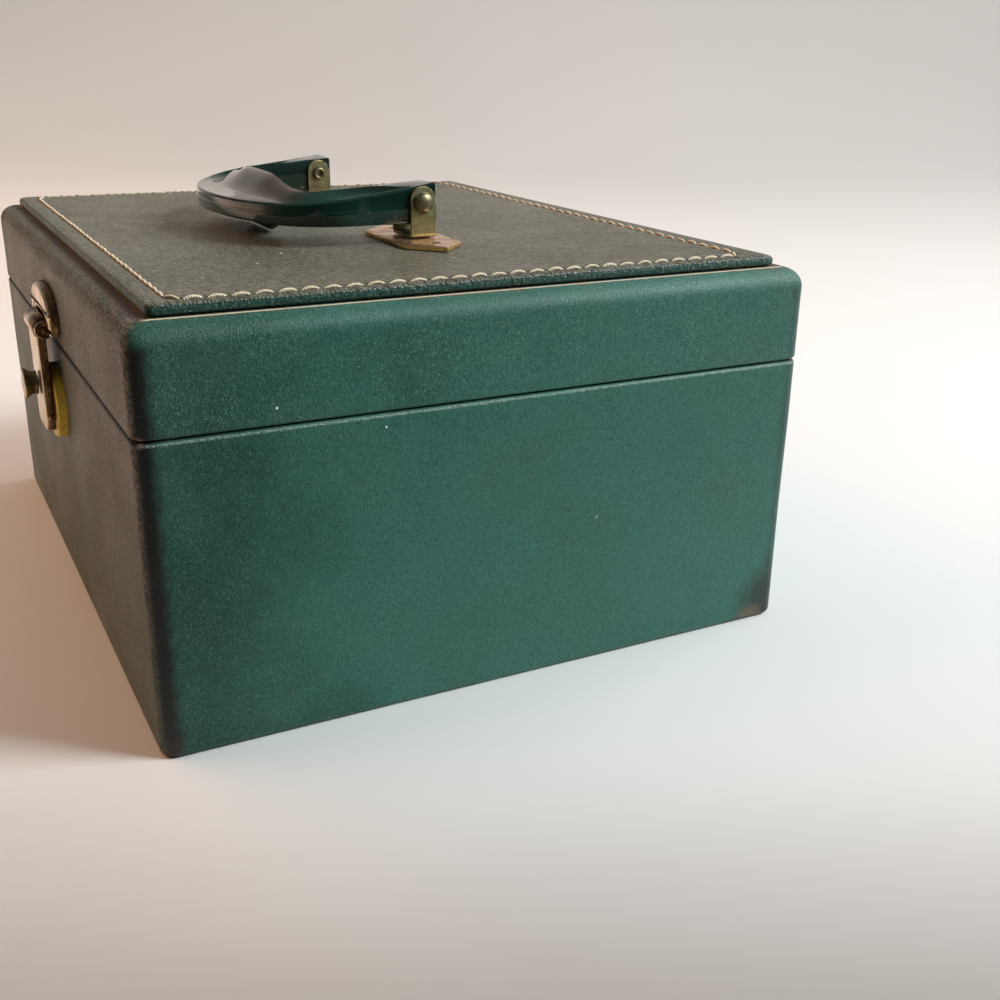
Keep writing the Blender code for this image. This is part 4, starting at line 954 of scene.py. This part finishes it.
def grip_line(travel):
    """Outer and inner edge, mid height and half heights of the handle along one half.

    travel runs from 0 at the arm's end over 1, where the bow starts, to 2 in the middle. The outer bow is
    a quarter ellipse, the inner one is squarer: both coordinates are raised to the squareness.
    """
    arm_end = PIVOT[0] + ARM_BEHIND
    bow = PIVOT[0] - ARM_LENGTH
    turn = np.radians(90.0 * np.clip(travel - 1.0, 0.0, 1.0))
    along = np.cos(turn).clip(0.0)
    across = np.sin(turn)
    arm_y = arm_end + (bow - arm_end) * np.clip(travel, 0.0, 1.0)
    outer = np.stack([ARM_OUTER * along, arm_y - BOW_DEPTH * across], axis=-1)
    inner_x = (ARM_OUTER - ARM_THICKNESS) * along ** BOW_SQUARENESS
    inner = np.stack([inner_x, arm_y - INNER_BOW_DEPTH * across ** BOW_SQUARENESS], axis=-1)
    share = (arm_end - outer[:, 1]) / (arm_end - bow + BOW_DEPTH)
    end_middle = PIVOT[1] - ARM_UNDER_PIVOT + ARM_END_HEIGHT / 2
    middle = end_middle + (PIVOT[1] - GRIP_BELOW_PIVOT - end_middle) * np.minimum(share / LEVEL_SHARE, 1.0)
    lip = (LIP_HEIGHT + (ARM_END_HEIGHT - LIP_HEIGHT) * (1.0 - share).clip(0.0) ** 1.5) / 2
    crest_foot, crest_top = CREST_ENDS
    rise = ARM_END_HEIGHT / 2 + CREST_RISE * smooth((crest_foot - inner_x) / (crest_foot - crest_top))
    rest = smooth((LOWER_CREST_END - inner_x) / (LOWER_CREST_END - crest_top))
    drop = lip + (middle - PANEL_TOP - CLEARANCE - lip) * rest
    return outer, inner, middle, lip, rise, drop


def grip_rings(travel, shrink=1.0, back=0.0):
    """Cross-sections of the left half of the handle.

    Each has a bevelled lip with a fine parting ridge, a scoop behind the lip, hollow as 1-(2u-1)^2, and a
    smooth step up to the inner edge, which the crest raises in the middle.
    """
    outer, inner, middle, lip, rise, drop = (part[..., None] for part in grip_line(travel))
    outer, inner = outer[..., 0], inner[..., 0]
    travel = travel[:, None]
    width = np.linalg.norm(inner - outer, axis=1)[:, None]
    bow = smooth(travel - 0.8)
    scooped = smooth((travel - 0.30) / 0.45)
    rise = rise - 0.0006 * scooped * (1.0 - smooth((travel - 1.1) / 0.5))

    def step_up(share, height):
        step = smooth((share - 0.10 - 0.45 * bow) / (0.62 - 0.21 * bow))
        return lip + (height - lip) * step

    rim = GRIP_RIM / width
    tight = GRIP_RIM_EDGE / width
    wall = rim + (0.965 - rim) * (0.18 + 0.82 * scooped)
    depth = SCOOP_DEPTH * smooth((travel - 0.28) / 0.14) * (1.0 - 0.75 * smooth((travel - 1.05) / 0.7))
    u = np.linspace(0.0, 1.0, 15)
    zero = 0.0 * width
    upper_share = np.concatenate([
        zero, 0.35 * rim, 0.8 * rim, rim - tight, rim + (wall - rim) * u, wall + tight, 0.5 * wall + 0.49,
        zero + 0.985, zero + 1.0,
    ], axis=1)
    upper = step_up(upper_share, rise)
    upper[:, 4:19] -= depth * (1.0 - (2.0 * u - 1.0) ** 2)
    upper -= np.array([0.0008, 0.00022] + [0.0] * 18 + [0.0001, 0.0004, 0.0011])
    lower_share = zero + [0.0, 0.02, 0.05, 0.15, 0.3, 0.45, 0.55, 0.63, 0.71, 0.79, 0.87, 0.94, 0.98, 1.0]
    lower = step_up(lower_share, drop) - np.array([0.0008, 0.00022] + [0.0] * 10 + [0.0004, 0.0011])
    ridge_share = GRIP_RIDGE * smooth((travel - 0.75) * 2.0) / width * np.array([0.0, 1.0, 1.0, 0.0])
    ridge_height = zero + GRIP_RIDGE * np.array([-1.5, -1.0, 1.0, 1.5])
    share = np.concatenate([-ridge_share, upper_share, lower_share[:, ::-1]], axis=1)
    height = np.concatenate([ridge_height, upper, -lower[:, ::-1]], axis=1)
    share = 0.5 + (share - 0.5) * shrink
    flat = outer[:, None] + (inner - outer)[:, None] * share[..., None]
    return np.stack([-flat[..., 0], flat[..., 1] + back, middle + height * shrink], axis=-1)


def bore(piece, middle, reach, radius, crease):
    """Cuts a round hole along X through a piece."""
    profile = [(0.0, -reach), (radius, -reach), (radius, reach), (0.0, reach)]
    points, corners, *_ = turned(profile, middle, (1.0, 0.0, 0.0), 24)
    mesh = bpy.data.meshes.new("drill")
    mesh.from_pydata(points.tolist(), [], corners.reshape(-1, 4).tolist())
    mend(mesh, 0.000001)
    drill = new_object("drill", mesh)
    bored = piece.modifiers.new("bore", "BOOLEAN")
    bored.object = drill
    bored.solver = "EXACT"
    finished = bpy.data.meshes.new_from_object(piece.evaluated_get(bpy.context.evaluated_depsgraph_get()))
    piece.modifiers.clear()
    piece.data = finished
    shade(finished, crease)
    bpy.data.objects.remove(drill)


def make_grip(finish):
    """Moulded handle: one row of cross-sections from arm end to arm end, bored for the rivets."""
    rows = []
    for step in np.radians([0.0, 30.0, 60.0, 90.0]):
        shrink = 1.0 - ARM_END_ROUND * (1.0 - math.sin(step)) * 2 / ARM_END_HEIGHT
        rows.append(grip_rings(np.array([0.0]), shrink, -ARM_END_ROUND * (1.0 - math.cos(step))))
    rows.append(grip_rings(np.concatenate([np.linspace(0.12, 1.0, 23), np.linspace(1.0, 2.0, 45)[1:]])))
    half = np.concatenate(rows)
    patch = closed(np.concatenate([half, half[-2::-1] * (-1.0, 1.0, 1.0)]))
    grip = add_piece("handle_moulding", [patch], "handle", finish, ("handle_grip",))
    bore(grip, (0.0, *PIVOT), ARM_OUTER + EAR_WIDTH, RIVET + RIVET_PLAY, 24.0)


def strap_points(centre):
    """Strip bent into a U: down one ear, round the bend, under the arm and up the other ear.

    Each ear ends in a half circle, so the strip's half width there is sqrt(r^2 - h^2).
    """
    outer = ARM_THICKNESS / 2 + EAR_GAP + EAR_METAL
    wide = EAR_WIDTH / 2
    top = PIVOT[1] + EAR_ABOVE - wide
    foot = PLATE_TOP + CLEARANCE
    angle = np.radians(np.linspace(88.0, 0.0, 12))
    ear = np.stack([np.full(12, -outer), top + wide * np.sin(angle)], axis=1)
    bend = np.radians(np.linspace(0.0, 90.0, 7))
    curve = np.stack([-outer + EAR_BEND * (1 - np.cos(bend)), foot + EAR_BEND * (1 - np.sin(bend))], axis=1)
    half = np.concatenate([ear, curve])
    inward = np.concatenate([np.tile([1.0, 0.0], (12, 1)), np.stack([np.cos(bend), np.sin(bend)], axis=1)])
    width = np.concatenate([wide * np.cos(angle), np.full(7, wide)])
    path = np.concatenate([half, half[::-1] * (-1.0, 1.0)])
    inward = np.concatenate([inward, inward[::-1] * (-1.0, 1.0)])
    width = np.concatenate([width, width[::-1]])
    section = softened([(-1.0, 0.0), (1.0, 0.0), (1.0, 1.0), (-1.0, 1.0)], 0.06, 4)
    across = PIVOT[0] + width[:, None] * section[:, 0]
    depth = EAR_METAL * section[:, 1]
    flat = path[:, None] + inward[:, None] * depth[:, None]
    return np.stack([centre + flat[..., 0], across, flat[..., 1]], axis=-1)


def make_brackets(ear_brass, plate_brass, rivet_brass):
    """Two brackets: pointed plates with nails, U straps, and rivets with a domed head and a rolled end."""
    middle = ARM_OUTER - ARM_THICKNESS / 2
    washer = EAR_GAP + EAR_METAL + RIVET_PLAY
    length = ARM_THICKNESS + 2 * washer
    dome = np.radians(np.linspace(0.0, 90.0, 9))
    rivet = [
        (0.0, 0.0009), (RIVET_EYE, 0.0009), (RIVET_EYE, -0.0005), (0.0012, -0.00078), (0.0015, -0.0009),
        (0.0019, -0.00085), (0.0022, -0.0006), (RIVET_TAIL, -0.0003), (RIVET_TAIL, 0.0), (RIVET, 0.0),
        (RIVET, length), (RIVET_HEAD + 0.00015, length), (RIVET_HEAD + 0.0002, length + 0.0003),
    ]
    rivet += list(zip(RIVET_HEAD * np.cos(dome), length + 0.00035 + 0.00155 * np.sin(dome)))
    nail = [
        (0.0, -0.0009), (0.0016, -0.0009), (0.0016, 0.0), (0.00145, 0.0002), (0.0010, 0.00042),
        (0.0005, 0.0005), (0.0, 0.00052),
    ]
    nails = []
    for side, name in ((-1, "left"), (1, "right")):
        refined("bracket_plate_" + name, "lid", plate_brass, 0.00022)
        strap = closed(strap_points(side * middle))
        add_piece("ear_strap_" + name, [strap], "lid", ear_brass, ("bracket_strap_" + name,), 50.0)
        tail = (side * (ARM_OUTER - ARM_THICKNESS - washer), *PIVOT)
        patch = turned(rivet, tail, (side, 0.0, 0.0), 36)
        add_piece("ear_rivet_" + name, [patch], "lid", rivet_brass, ("handle_rivet_" + name,), 45.0)
        for end in (-1, 1):
            x = side * (middle - PLATE_INBOARD) + end * NAIL_SPACING / 2
            nails.append(turned(nail, (x, PIVOT[0], PLATE_TOP - 0.0005), (0.0, 0.0, 1.0), 24))
    add_piece("bracket_nails", nails, "lid", rivet_brass)


def make_lock_plate(finish):
    """Pressed arched plate with soft edges and a notch for the knuckle, and two lugs that hold the pin."""
    half = LOCK_PLATE_HALF
    side = LOCK_PLATE_SIDE
    angle = np.radians(np.linspace(0.0, 180.0, 25))
    arch = (half - LOCK_PLATE_SHOULDER) * np.cos(angle)
    notch = HASP_HALF + CLEARANCE
    notch_top = HASP_AXIS[1] + KNUCKLE + CLEARANCE - LOCK_PLATE_BOTTOM
    outline = np.concatenate([
        [(half, 0.0), (half, side - 0.0002)],
        np.stack([arch, side + (LOCK_PLATE_HEIGHT - side) * np.sin(angle)], axis=1),
        [(-half, side - 0.0002), (-half, 0.0), (-notch, 0.0)],
        [(-notch, notch_top), (notch, notch_top), (notch, 0.0)],
    ])
    face = HALF_Y + CLEARANCE
    levels = [
        (0.0, -face), (0.0, -face - 0.0013), (0.0001, -face - 0.00175), (0.0004, -face - 0.0022),
        (0.0008, -face - 0.00255), (0.0013, -face - 0.0028), (0.0018, -face - 0.0029),
    ]
    patches = [slab(softened(outline, 0.00018, 3) + (0.0, LOCK_PLATE_BOTTOM), levels, order=(0, 2, 1))]
    wide = LUG_WIDTH
    lug = [
        (0.0, 0.0), (LUG - 0.0002, 0.0), (LUG, 0.0002), (LUG, wide - 0.0004), (LUG - 0.0001, wide - 0.0001),
        (LUG - 0.0004, wide), (LUG - 0.0007, wide - 0.00015), (LUG - 0.0009, wide - 0.0007),
        (0.0013, wide - 0.0008), (0.0009, wide - 0.0003), (0.0, wide - 0.00015),
    ]
    for end in (-1, 1):
        patches.append(turned(lug, (end * notch, *HASP_AXIS), (end, 0.0, 0.0), 36))
    add_piece("lock_plate", patches, "lid", finish, ("hasp_plate",), 40.0)


def make_leaf(finish):
    """Folded leaf with a round foot, its rolled knuckle, and a button in each side."""
    half = HASP_HALF
    inside = half - HASP_METAL
    outline = [
        (half, HASP_BACK), (half, HASP_FRONT), (-half, HASP_FRONT), (-half, HASP_BACK), (-inside, HASP_BACK),
        (-inside, HASP_SHEET), (inside, HASP_SHEET), (inside, HASP_BACK),
    ]
    section = softened(outline, (0.0003, 0.0013, 0.0013, 0.0003, 0.0003, 0.0002, 0.0002, 0.0003), 7)
    foot = HASP_FOOT_ROUND
    up = np.concatenate([[0.0, 0.0001, 0.0004, 0.0009, 0.0015, foot], np.linspace(0.005, HASP_HEIGHT, 6)])
    narrow = foot - np.sqrt(np.maximum(foot ** 2 - (foot - np.minimum(up, foot)) ** 2, 0.0))
    x = np.sign(section[:, 0]) * (np.abs(section[:, 0]) - narrow[:, None])
    y = np.broadcast_to(-section[:, 1], x.shape)
    points = np.stack([x, y, HASP_FOOT + up[:, None] + 0.0 * x], axis=-1)
    inner = half - CLEARANCE
    barrel = [
        (0.0, -inner), (KNUCKLE - 0.0003, -inner), (KNUCKLE, -inner + 0.0003), (KNUCKLE, inner - 0.0003),
        (KNUCKLE - 0.0003, inner), (0.0, inner),
    ]
    button = [(0.0, 0.0), (0.0011, 0.0), (0.0011, 0.0007), (0.0008, 0.0010), (0.0, 0.0011)]
    patches = [closed(points), turned(barrel, (0.0, *HASP_AXIS), (1.0, 0.0, 0.0), 40)]
    for end in (-1, 1):
        patches.append(turned(button, (end * (half - 0.0001), *HASP_BUTTON), (end, 0.0, 0.0), 16))
    add_piece("lock_leaf", patches, "hasp", finish, ("hasp_leaf",), 45.0)


def make_knob(finish):
    """Turning knob: eight soft sides, a waist and a swelled head."""
    angle = np.linspace(0.0, math.tau, 48, endpoint=False)
    half_side = math.pi / KNOB_SIDES
    beat = 0.25 + 0.75 * math.cos(half_side) / np.cos(np.mod(angle, 2 * half_side) - half_side)
    waist = KNOB_WAIST
    head = KNOB_RADIUS
    profile = [
        (0.0, 0.0), (waist * 1.02, 0.0), (waist * 1.05, 0.0003), (waist, 0.0012), (waist * 1.02, 0.0020),
        (head * 0.90, 0.0030), (head * 0.985, 0.0034), (head, 0.0037), (head * 0.985, 0.0040),
        (head * 0.92, 0.0043), (head * 0.80, KNOB_LENGTH), (head * 0.60, KNOB_LENGTH - 0.0001),
        (0.0, KNOB_LENGTH - 0.0002),
    ]
    patch = turned(profile, (0.0, -KNOB_START, KNOB_Z), (0.0, -1.0, 0.0), 48, beat)
    add_piece("lock_knob", [patch], "knob", finish, ("knob",), 30.0)


def make_hinges(dark):
    """Hinge leaves with broken edges, and domed slotted screws, four to a hinge."""
    finish = brass("hinge_brass", (0.66, 0.48, 0.19), (0.30, 0.20, 0.09), (0.45, 0.30, 0.14), 0.45)
    for name in ("left", "right"):
        refined("hinge_base_leaf_" + name, "base", finish, 0.00015)
        refined("hinge_lid_leaf_" + name, "lid", finish, 0.00015)
        dress(finish, "hinge_pin_" + name)
    dome = [
        (0.0, -0.0006), (0.0022, -0.0006), (0.0024, 0.0), (0.0022, 0.00028), (0.0016, 0.00052),
        (0.0008, 0.00066), (0.0, 0.0007),
    ]
    share = np.linspace(-1.0, 1.0, 7)
    for body, side in (("base", -1), ("lid", 1)):
        heads = []
        slots = []
        for number, apart in enumerate((-SCREW_APART, SCREW_APART, -SCREW_APART, SCREW_APART)):
            x = apart + (HINGE_X if number > 1 else -HINGE_X)
            z = HINGE_AXIS[1] + side * SCREW_DROP
            heads.append(turned(dome, (x, HINGE_FACE, z), (0.0, 1.0, 0.0), 28))
            turn = math.radians(35.0 + 47.0 * number + 20.0 * side)
            along = np.array([math.cos(turn), 0.0, math.sin(turn)])
            path = np.array([x, HINGE_FACE + SLOT_HEIGHT, z]) + SLOT_HALF * share[:, None] * along
            path[:, 1] += 0.0002 * (1.0 - share ** 2)
            slots.append(closed(tube(path, np.full(7, SLOT_RADIUS), up=(0.0, 1.0, 0.0))))
        add_piece("hinge_screws_" + body, heads, body, finish)
        add_piece("screw_slots_" + body, slots, body, dark)


def make_collar_and_ledges(finish):
    """Lined collar that the lid closes over, and the two ledges that the tray stands on."""
    outer, inner = COLLAR
    outline = [(outer, COLLAR_FOOT), (inner, COLLAR_FOOT), (inner, COLLAR_TOP), (outer, COLLAR_TOP)]
    section = softened(outline, (0.0003, 0.0003, 0.0012, 0.0012), 6)
    patch = grid(round_case(section), round_rows=True, round_columns=True)
    add_piece("velvet_collar", [patch], "base", finish, ("inner_collar",))
    for name in ("left", "right"):
        low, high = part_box("tray_ledge_" + name)
        outline = softened([(low.y, low.z), (high.y, low.z), (high.y, high.z), (low.y, high.z)], 0.0006, 4)
        levels = [(0.0005, low.x), (0.0001, low.x + 0.0002), (0.0, low.x + 0.0006)]
        levels += [(0.0, high.x - 0.0006), (0.0001, high.x - 0.0002), (0.0005, high.x)]
        patch = slab(outline, levels, order=(2, 0, 1))
        add_piece("velvet_ledge_" + name, [patch], "base", finish, ("tray_ledge_" + name,))


def make_floor_pad(finish):
    """Padded floor: a low cushion, with a faint wave of 0.18 sin(90x) sin(80y) mm on top."""
    low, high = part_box("floor_lining")
    section = np.array([
        (0.0010, 0.0), (0.0002, 0.0002), (0.0, 0.0006), (0.0004, 0.0011), (0.0016, 0.0017), (0.004, 0.0024),
        (0.010, 0.0031), (0.022, 0.0035), (0.045, 0.0037), (0.075, 0.0038),
    ])
    section = section * (1.0, 0.85) + (0.0, low.z)
    points = stacked(section, lambda inset: plan_ring(high.x - inset, high.y - inset, 0.002))
    x, y, z = np.moveaxis(points, -1, 0)
    points[..., 2] += 0.00018 * np.sin(x * 90) * np.sin(y * 80) * (z > low.z + 0.0015)
    pad = add_piece("floor_pad", [closed(points)], "base", finish, ("floor_lining",), 60.0)


def make_tray(finish):
    """Lined tray with soft rims, and its dividers in the shape of a cross and a bar."""
    def tray_ring(inset):
        return plan_ring(TRAY_HALF[0] - inset, TRAY_HALF[1] - inset, max(0.003 - inset, 0.001))

    wall = TRAY_WALL
    soft_rim = [(0.0, 0.0012), (0.0001, 0.0007), (0.0004, 0.0003), (0.0009, 0.0)]
    section = [
        (0.030, TRAY_BOTTOM), (0.0006, TRAY_BOTTOM), (0.0001, TRAY_BOTTOM + 0.0003),
        (0.0, TRAY_BOTTOM + 0.0010), *((inset, TRAY_TOP - drop) for inset, drop in soft_rim),
        *((wall - inset, TRAY_TOP - drop) for inset, drop in reversed(soft_rim)),
        (wall, TRAY_FLOOR + 0.0008), (wall + 0.0002, TRAY_FLOOR + 0.0002), (wall + 0.0008, TRAY_FLOOR),
        (0.030, TRAY_FLOOR),
    ]
    add_piece("velvet_tray", [closed(stacked(section, tray_ring))], "tray", finish, ("tray",))

    low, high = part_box("tray_dividers")
    half = DIVIDER_HALF
    bar_left, bar_right = low.x, low.x + 2 * half
    cross_left, cross_right = DIVIDER_CROSS - half, DIVIDER_CROSS + half
    outline = np.array([
        (bar_left, low.y), (bar_right, low.y), (bar_right, -half), (cross_left, -half), (cross_left, low.y),
        (cross_right, low.y), (cross_right, -half), (high.x, -half), (high.x, half), (cross_right, half),
        (cross_right, high.y), (cross_left, high.y), (cross_left, half), (bar_right, half),
        (bar_right, high.y), (bar_left, high.y),
    ])
    levels = [(0.0, low.z), (0.0, high.z - 0.0007), (0.0001, high.z - 0.0004)]
    levels += [(0.0003, high.z - 0.0001), (0.0006, high.z)]
    add_piece("velvet_dividers", [slab(outline, levels)], "tray", finish, ("tray_dividers",))


def make_ring_rolls(finish):
    """Three padded rolls side by side, filled out from pleated ends: radius sqrt(1-(1-e)^2) near an end."""
    low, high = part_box("ring_rolls")
    roll = (high.x - low.x) / 6
    tall = (high.z - low.z) / 2
    angle = np.radians(np.linspace(-90.0, 270.0, 28, endpoint=False))
    start = [0.0, 0.003, 0.010, 0.022, 0.04, 0.065]
    stop = [0.935, 0.96, 0.978, 0.99, 0.997, 1.0]
    t = np.concatenate([start, np.linspace(0.10, 0.90, 25), stop])[:, None]
    end = np.clip(np.minimum(t, 1.0 - t) / 0.065, 0.0, 1.0)
    full = np.sqrt(1.0 - (1.0 - end) ** 2) * 0.5 + 0.5
    wide = 0.985 * roll * np.sign(np.cos(angle)) * np.abs(np.cos(angle)) ** 0.72
    patches = []
    for number in range(3):
        pucker = 1.0 - 0.012 * np.cos(11 * angle) * (1.0 - end) - 0.006 * np.sin(47 * t + number)
        x = low.x + roll * (2 * number + 1) + wide * pucker * full
        y = low.y + (high.y - low.y) * t + 0.0 * x
        z = low.z + tall * full + tall * np.sin(angle) * pucker * full
        patches.append(closed(np.stack([x, y, z], axis=-1)))
    rolls = add_piece("velvet_ring_rolls", patches, "tray", finish, ("ring_rolls",), 70.0)


def make_lift_ribbon(name, finish):
    """Ribbon folded over into a flat loop: up one side, round a half circle and down the other."""
    low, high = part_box("tray_tab_" + name)
    centre = (low.y + high.y) / 2
    turn = np.radians(np.linspace(180.0, 0.0, 9))
    top = high.z - RIBBON_BEND - 0.0002
    path = np.concatenate([
        [(centre - RIBBON_BEND, z) for z in np.linspace(low.z, top, 6)[:-1]],
        np.stack([centre + RIBBON_BEND * np.cos(turn), top + RIBBON_BEND * np.sin(turn)], axis=1),
        [(centre + RIBBON_BEND, z) for z in np.linspace(top, low.z, 6)[1:]],
    ])
    run = run_length(path)
    step = np.gradient(path, axis=0)
    out = np.stack([-step[:, 1], step[:, 0]], axis=1) / np.linalg.norm(step, axis=1)[:, None]
    across = np.linspace(low.x, high.x, 7)
    faces = []
    for sign, columns in ((1.0, across), (-1.0, across[::-1])):
        flat = path + sign * RIBBON_HALF_THICKNESS * out
        faces.append(np.stack(np.broadcast_arrays(columns, flat[:, :1], flat[:, 1:]), axis=-1))
    points = np.concatenate(faces, axis=1)
    x = points[..., 0]
    marks = np.stack([np.broadcast_to(run[:, None], x.shape), x, 0.0 * x], axis=-1)
    patch = closed(points, marks)
    tab = add_piece("lift_ribbon_" + name, [patch], "tray", finish, ("tray_tab_" + name,), 50.0)


def make_lid_pad(finish):
    """Padded satin lid lining: it swells from the walls and is gathered into small pleats round its edge.

    The pleats are sin(2 pi r / 7.1 mm) + 0.5 sin(2 pi r / 4.6 mm + 1.3) + 0.4 sin(61 r) along the run r.
    """
    wall = BOARD_INSIDE + 0.001
    insets = wall + np.array([0.3, 1, 2, 4, 7, 11, 16, 23, 32, 44, 60, 80, 92]) / 1000.0
    drop = 0.0042 * (1.0 - np.exp(-(insets - insets[0]) / 0.010)) - 0.0008
    section = np.concatenate([
        [(BOARD_INSIDE, LINING_TOP), (BOARD_INSIDE, LINING_LOW), (BOARD_INSIDE + 0.0005, LINING_LOW - 0.0001),
         (wall, LINING_LOW + 0.0002), (wall, LINING_FACE - 0.003)],
        np.stack([insets, LINING_FACE - drop], axis=1),
    ])
    points = round_case(section, corner_steps=8, side_steps=(160, 130))
    run = run_length(points[0])
    inset = section[:, :1] - BOARD_INSIDE
    gather = np.exp(-inset / 0.012) * np.clip(inset / 0.0015, 0.0, 1.0)
    wave = np.sin(run * math.tau / 0.0071) + 0.5 * np.sin(run * math.tau / 0.0046 + 1.3)
    wave += 0.4 * np.sin(run * 61.0)
    x, y, z = np.moveaxis(points, -1, 0)
    swell = np.sin(x * 37 + 1) * np.sin(y * 43) + 0.5 * np.sin(x * 71 - y * 52)
    points[..., 2] = z - 0.0006 * gather * wave - 0.0004 * swell * np.clip(inset / 0.02, 0.0, 1.0)
    pad = add_piece("satin_lid_pad", [closed(points)], "lid", finish, ("lid_lining",), 60.0)


def make_floor():
    """Plain pale floor that curves up into a backdrop behind the case."""
    recipe = Recipe("pale_floor", Roughness=0.9)
    recipe.blend(recipe.noise(1.5, 2.0), (0.70, 0.705, 0.69), (0.76, 0.765, 0.75))
    bend = np.radians(np.linspace(0.0, 90.0, 14))
    reach = np.concatenate([[-6.0, -2.0, 0.0, 0.6], 1.4 + 0.9 * np.sin(bend), [2.3]])
    height = np.concatenate([[0.0, 0.0, 0.0, 0.0], 0.9 * (1.0 - np.cos(bend)), [4.0]])
    side = np.linspace(-6.0, 6.0, 5)
    flat = reach[:, None, None] * np.array(AWAY) + side[:, None] * np.array(ACROSS)
    height = np.broadcast_to(height[:, None, None], flat.shape[:2] + (1,)) - 0.0002
    points = np.concatenate([flat, height], axis=2)
    vertices, corners, *_ = grid(points)
    mesh = bpy.data.meshes.new("pale floor")
    mesh.from_pydata(vertices.tolist(), [], corners.reshape(-1, 4).tolist())
    mesh.shade_smooth()
    mesh.materials.append(recipe.finish())
    new_object("pale_floor", mesh)


def make_shade_card():
    """Dark card between window and near floor, hidden from camera and mirrors: only its shade counts."""
    recipe = Recipe("dark_card", Roughness=0.95)
    recipe.blend(recipe.noise(20.0), (0.02, 0.02, 0.02), (0.04, 0.04, 0.04))
    rise = SHADE_HEIGHT / WINDOW[2]
    edge = (1.0 - rise) * np.array(SHADE_LINE) + rise * np.array(WINDOW[:2])
    reach = np.array([[0.0, -1.6], [0.0, 1.6], [2.0, 1.6], [2.0, -1.6]])
    card = edge + reach @ np.array([np.negative(AWAY), ACROSS])
    mesh = bpy.data.meshes.new("shade card")
    mesh.from_pydata([(*corner, SHADE_HEIGHT) for corner in card.tolist()], [], [(0, 1, 2, 3)])
    mesh.materials.append(recipe.finish())
    sheet = new_object("shade_card", mesh)
    sheet.visible_camera = False
    sheet.visible_glossy = False


def make_light():
    """Soft studio lamps and a dim even surround."""
    for name, place, target, size, power, colour, spread, in_mirrors in LAMPS:
        light = bpy.data.lights.new(name, "AREA")
        light.shape = "RECTANGLE"
        light.size, light.size_y = size
        light.energy = power
        light.color = colour
        light.spread = math.radians(spread)
        lamp = new_object(name, light)
        lamp.location = place
        lamp.rotation_euler = (Vector(target) - Vector(place)).to_track_quat("-Z", "Y").to_euler()
        lamp.visible_glossy = in_mirrors
    world = bpy.data.worlds.new("soft surroundings")
    bpy.context.scene.world = world
    world.use_nodes = True
    background = world.node_tree.nodes["Background"]
    background.inputs["Color"].default_value = (0.84, 0.86, 0.88, 1.0)
    background.inputs["Strength"].default_value = 0.13


def make_camera():
    """The photograph's camera, solved from the case's own edges."""
    camera = new_object("camera", bpy.data.cameras.new("camera"))
    camera.data.sensor_width = 36.0
    camera.data.lens = CAMERA_LENS
    camera.data.clip_start = 0.01
    camera.data.clip_end = 50.0
    camera.matrix_world = Matrix.Translation(CAMERA_PLACE) @ Matrix(CAMERA_TURN).to_4x4()
    bpy.context.scene.camera = camera
    bpy.context.scene.view_settings.view_transform = "Standard"


def make_outside(recess):
    """Coverings, stitched panel and handle."""
    make_coverings(side_leatherette())
    make_panel(panel_leatherette())
    holes = needle_places()
    make_stitches(thread(), holes)
    make_needle_holes(recess, holes)
    make_grip(moulded_plastic())
    ear = brass(
        "greenish_brass", (0.39, 0.36, 0.18), (0.17, 0.15, 0.075), (0.49, 0.46, 0.30), 0.50, (0.28, 0.48),
    )
    plate = brass(
        "coppery_plate", (0.86, 0.56, 0.38), (0.42, 0.22, 0.12), (0.90, 0.72, 0.52), 0.40, (0.14, 0.34), 0.3,
        worn_slope_and_highlight=(0.85, 0.58, 0.20),
    )
    rivet = brass(
        "rivet_brass", (0.24, 0.22, 0.125), (0.11, 0.095, 0.05), (0.36, 0.33, 0.20), 0.52, (0.30, 0.50),
    )
    make_brackets(ear, plate, rivet)
    dress(board(), "base_carcass", "lid_carcass")
    dress(bookcloth(), "base_bottom_sheet")


def make_lock():
    """Plate and leaf in one dark brass, the knob in another, and the lock body in yellow lacquered brass."""
    dark = brass(
        "dark_hasp_brass", (0.40, 0.24, 0.10), (0.12, 0.065, 0.03), (0.62, 0.42, 0.20), 0.54, (0.12, 0.30),
        face=(0.71, 0.55, 0.37),
    )
    knob = brass(
        "dark_knob_brass", (0.30, 0.25, 0.11), (0.10, 0.08, 0.035), (0.45, 0.38, 0.18), 0.52, (0.2, 0.4),
        face=(0.74, 0.62, 0.46),
    )
    lacquered = brass(
        "polished_brass", (1.0, 0.74, 0.10), (0.66, 0.38, 0.07), (0.42, 0.22, 0.05), 0.36, (0.30, 0.46), 0.6,
        metallic=0.25,
    )
    make_lock_plate(dark)
    make_leaf(dark)
    make_knob(knob)
    refined("lock_body", "base", lacquered, 0.00025)
    dress(dark, "cam", "hasp_pin")


def make_inside():
    """Everything lined: collar, ledges, padded floor, tray with its rolls and ribbons, padded lid."""
    pile = velvet()
    woven = ribbon()
    make_collar_and_ledges(pile)
    make_floor_pad(pile)
    make_tray(pile)
    make_ring_rolls(pile)
    for name in ("front", "back"):
        make_lift_ribbon(name, woven)
    make_lid_pad(satin())


recess = dark_recess()
make_outside(recess)
make_lock()
make_hinges(recess)
make_inside()
make_floor()
make_shade_card()
make_light()
make_camera()
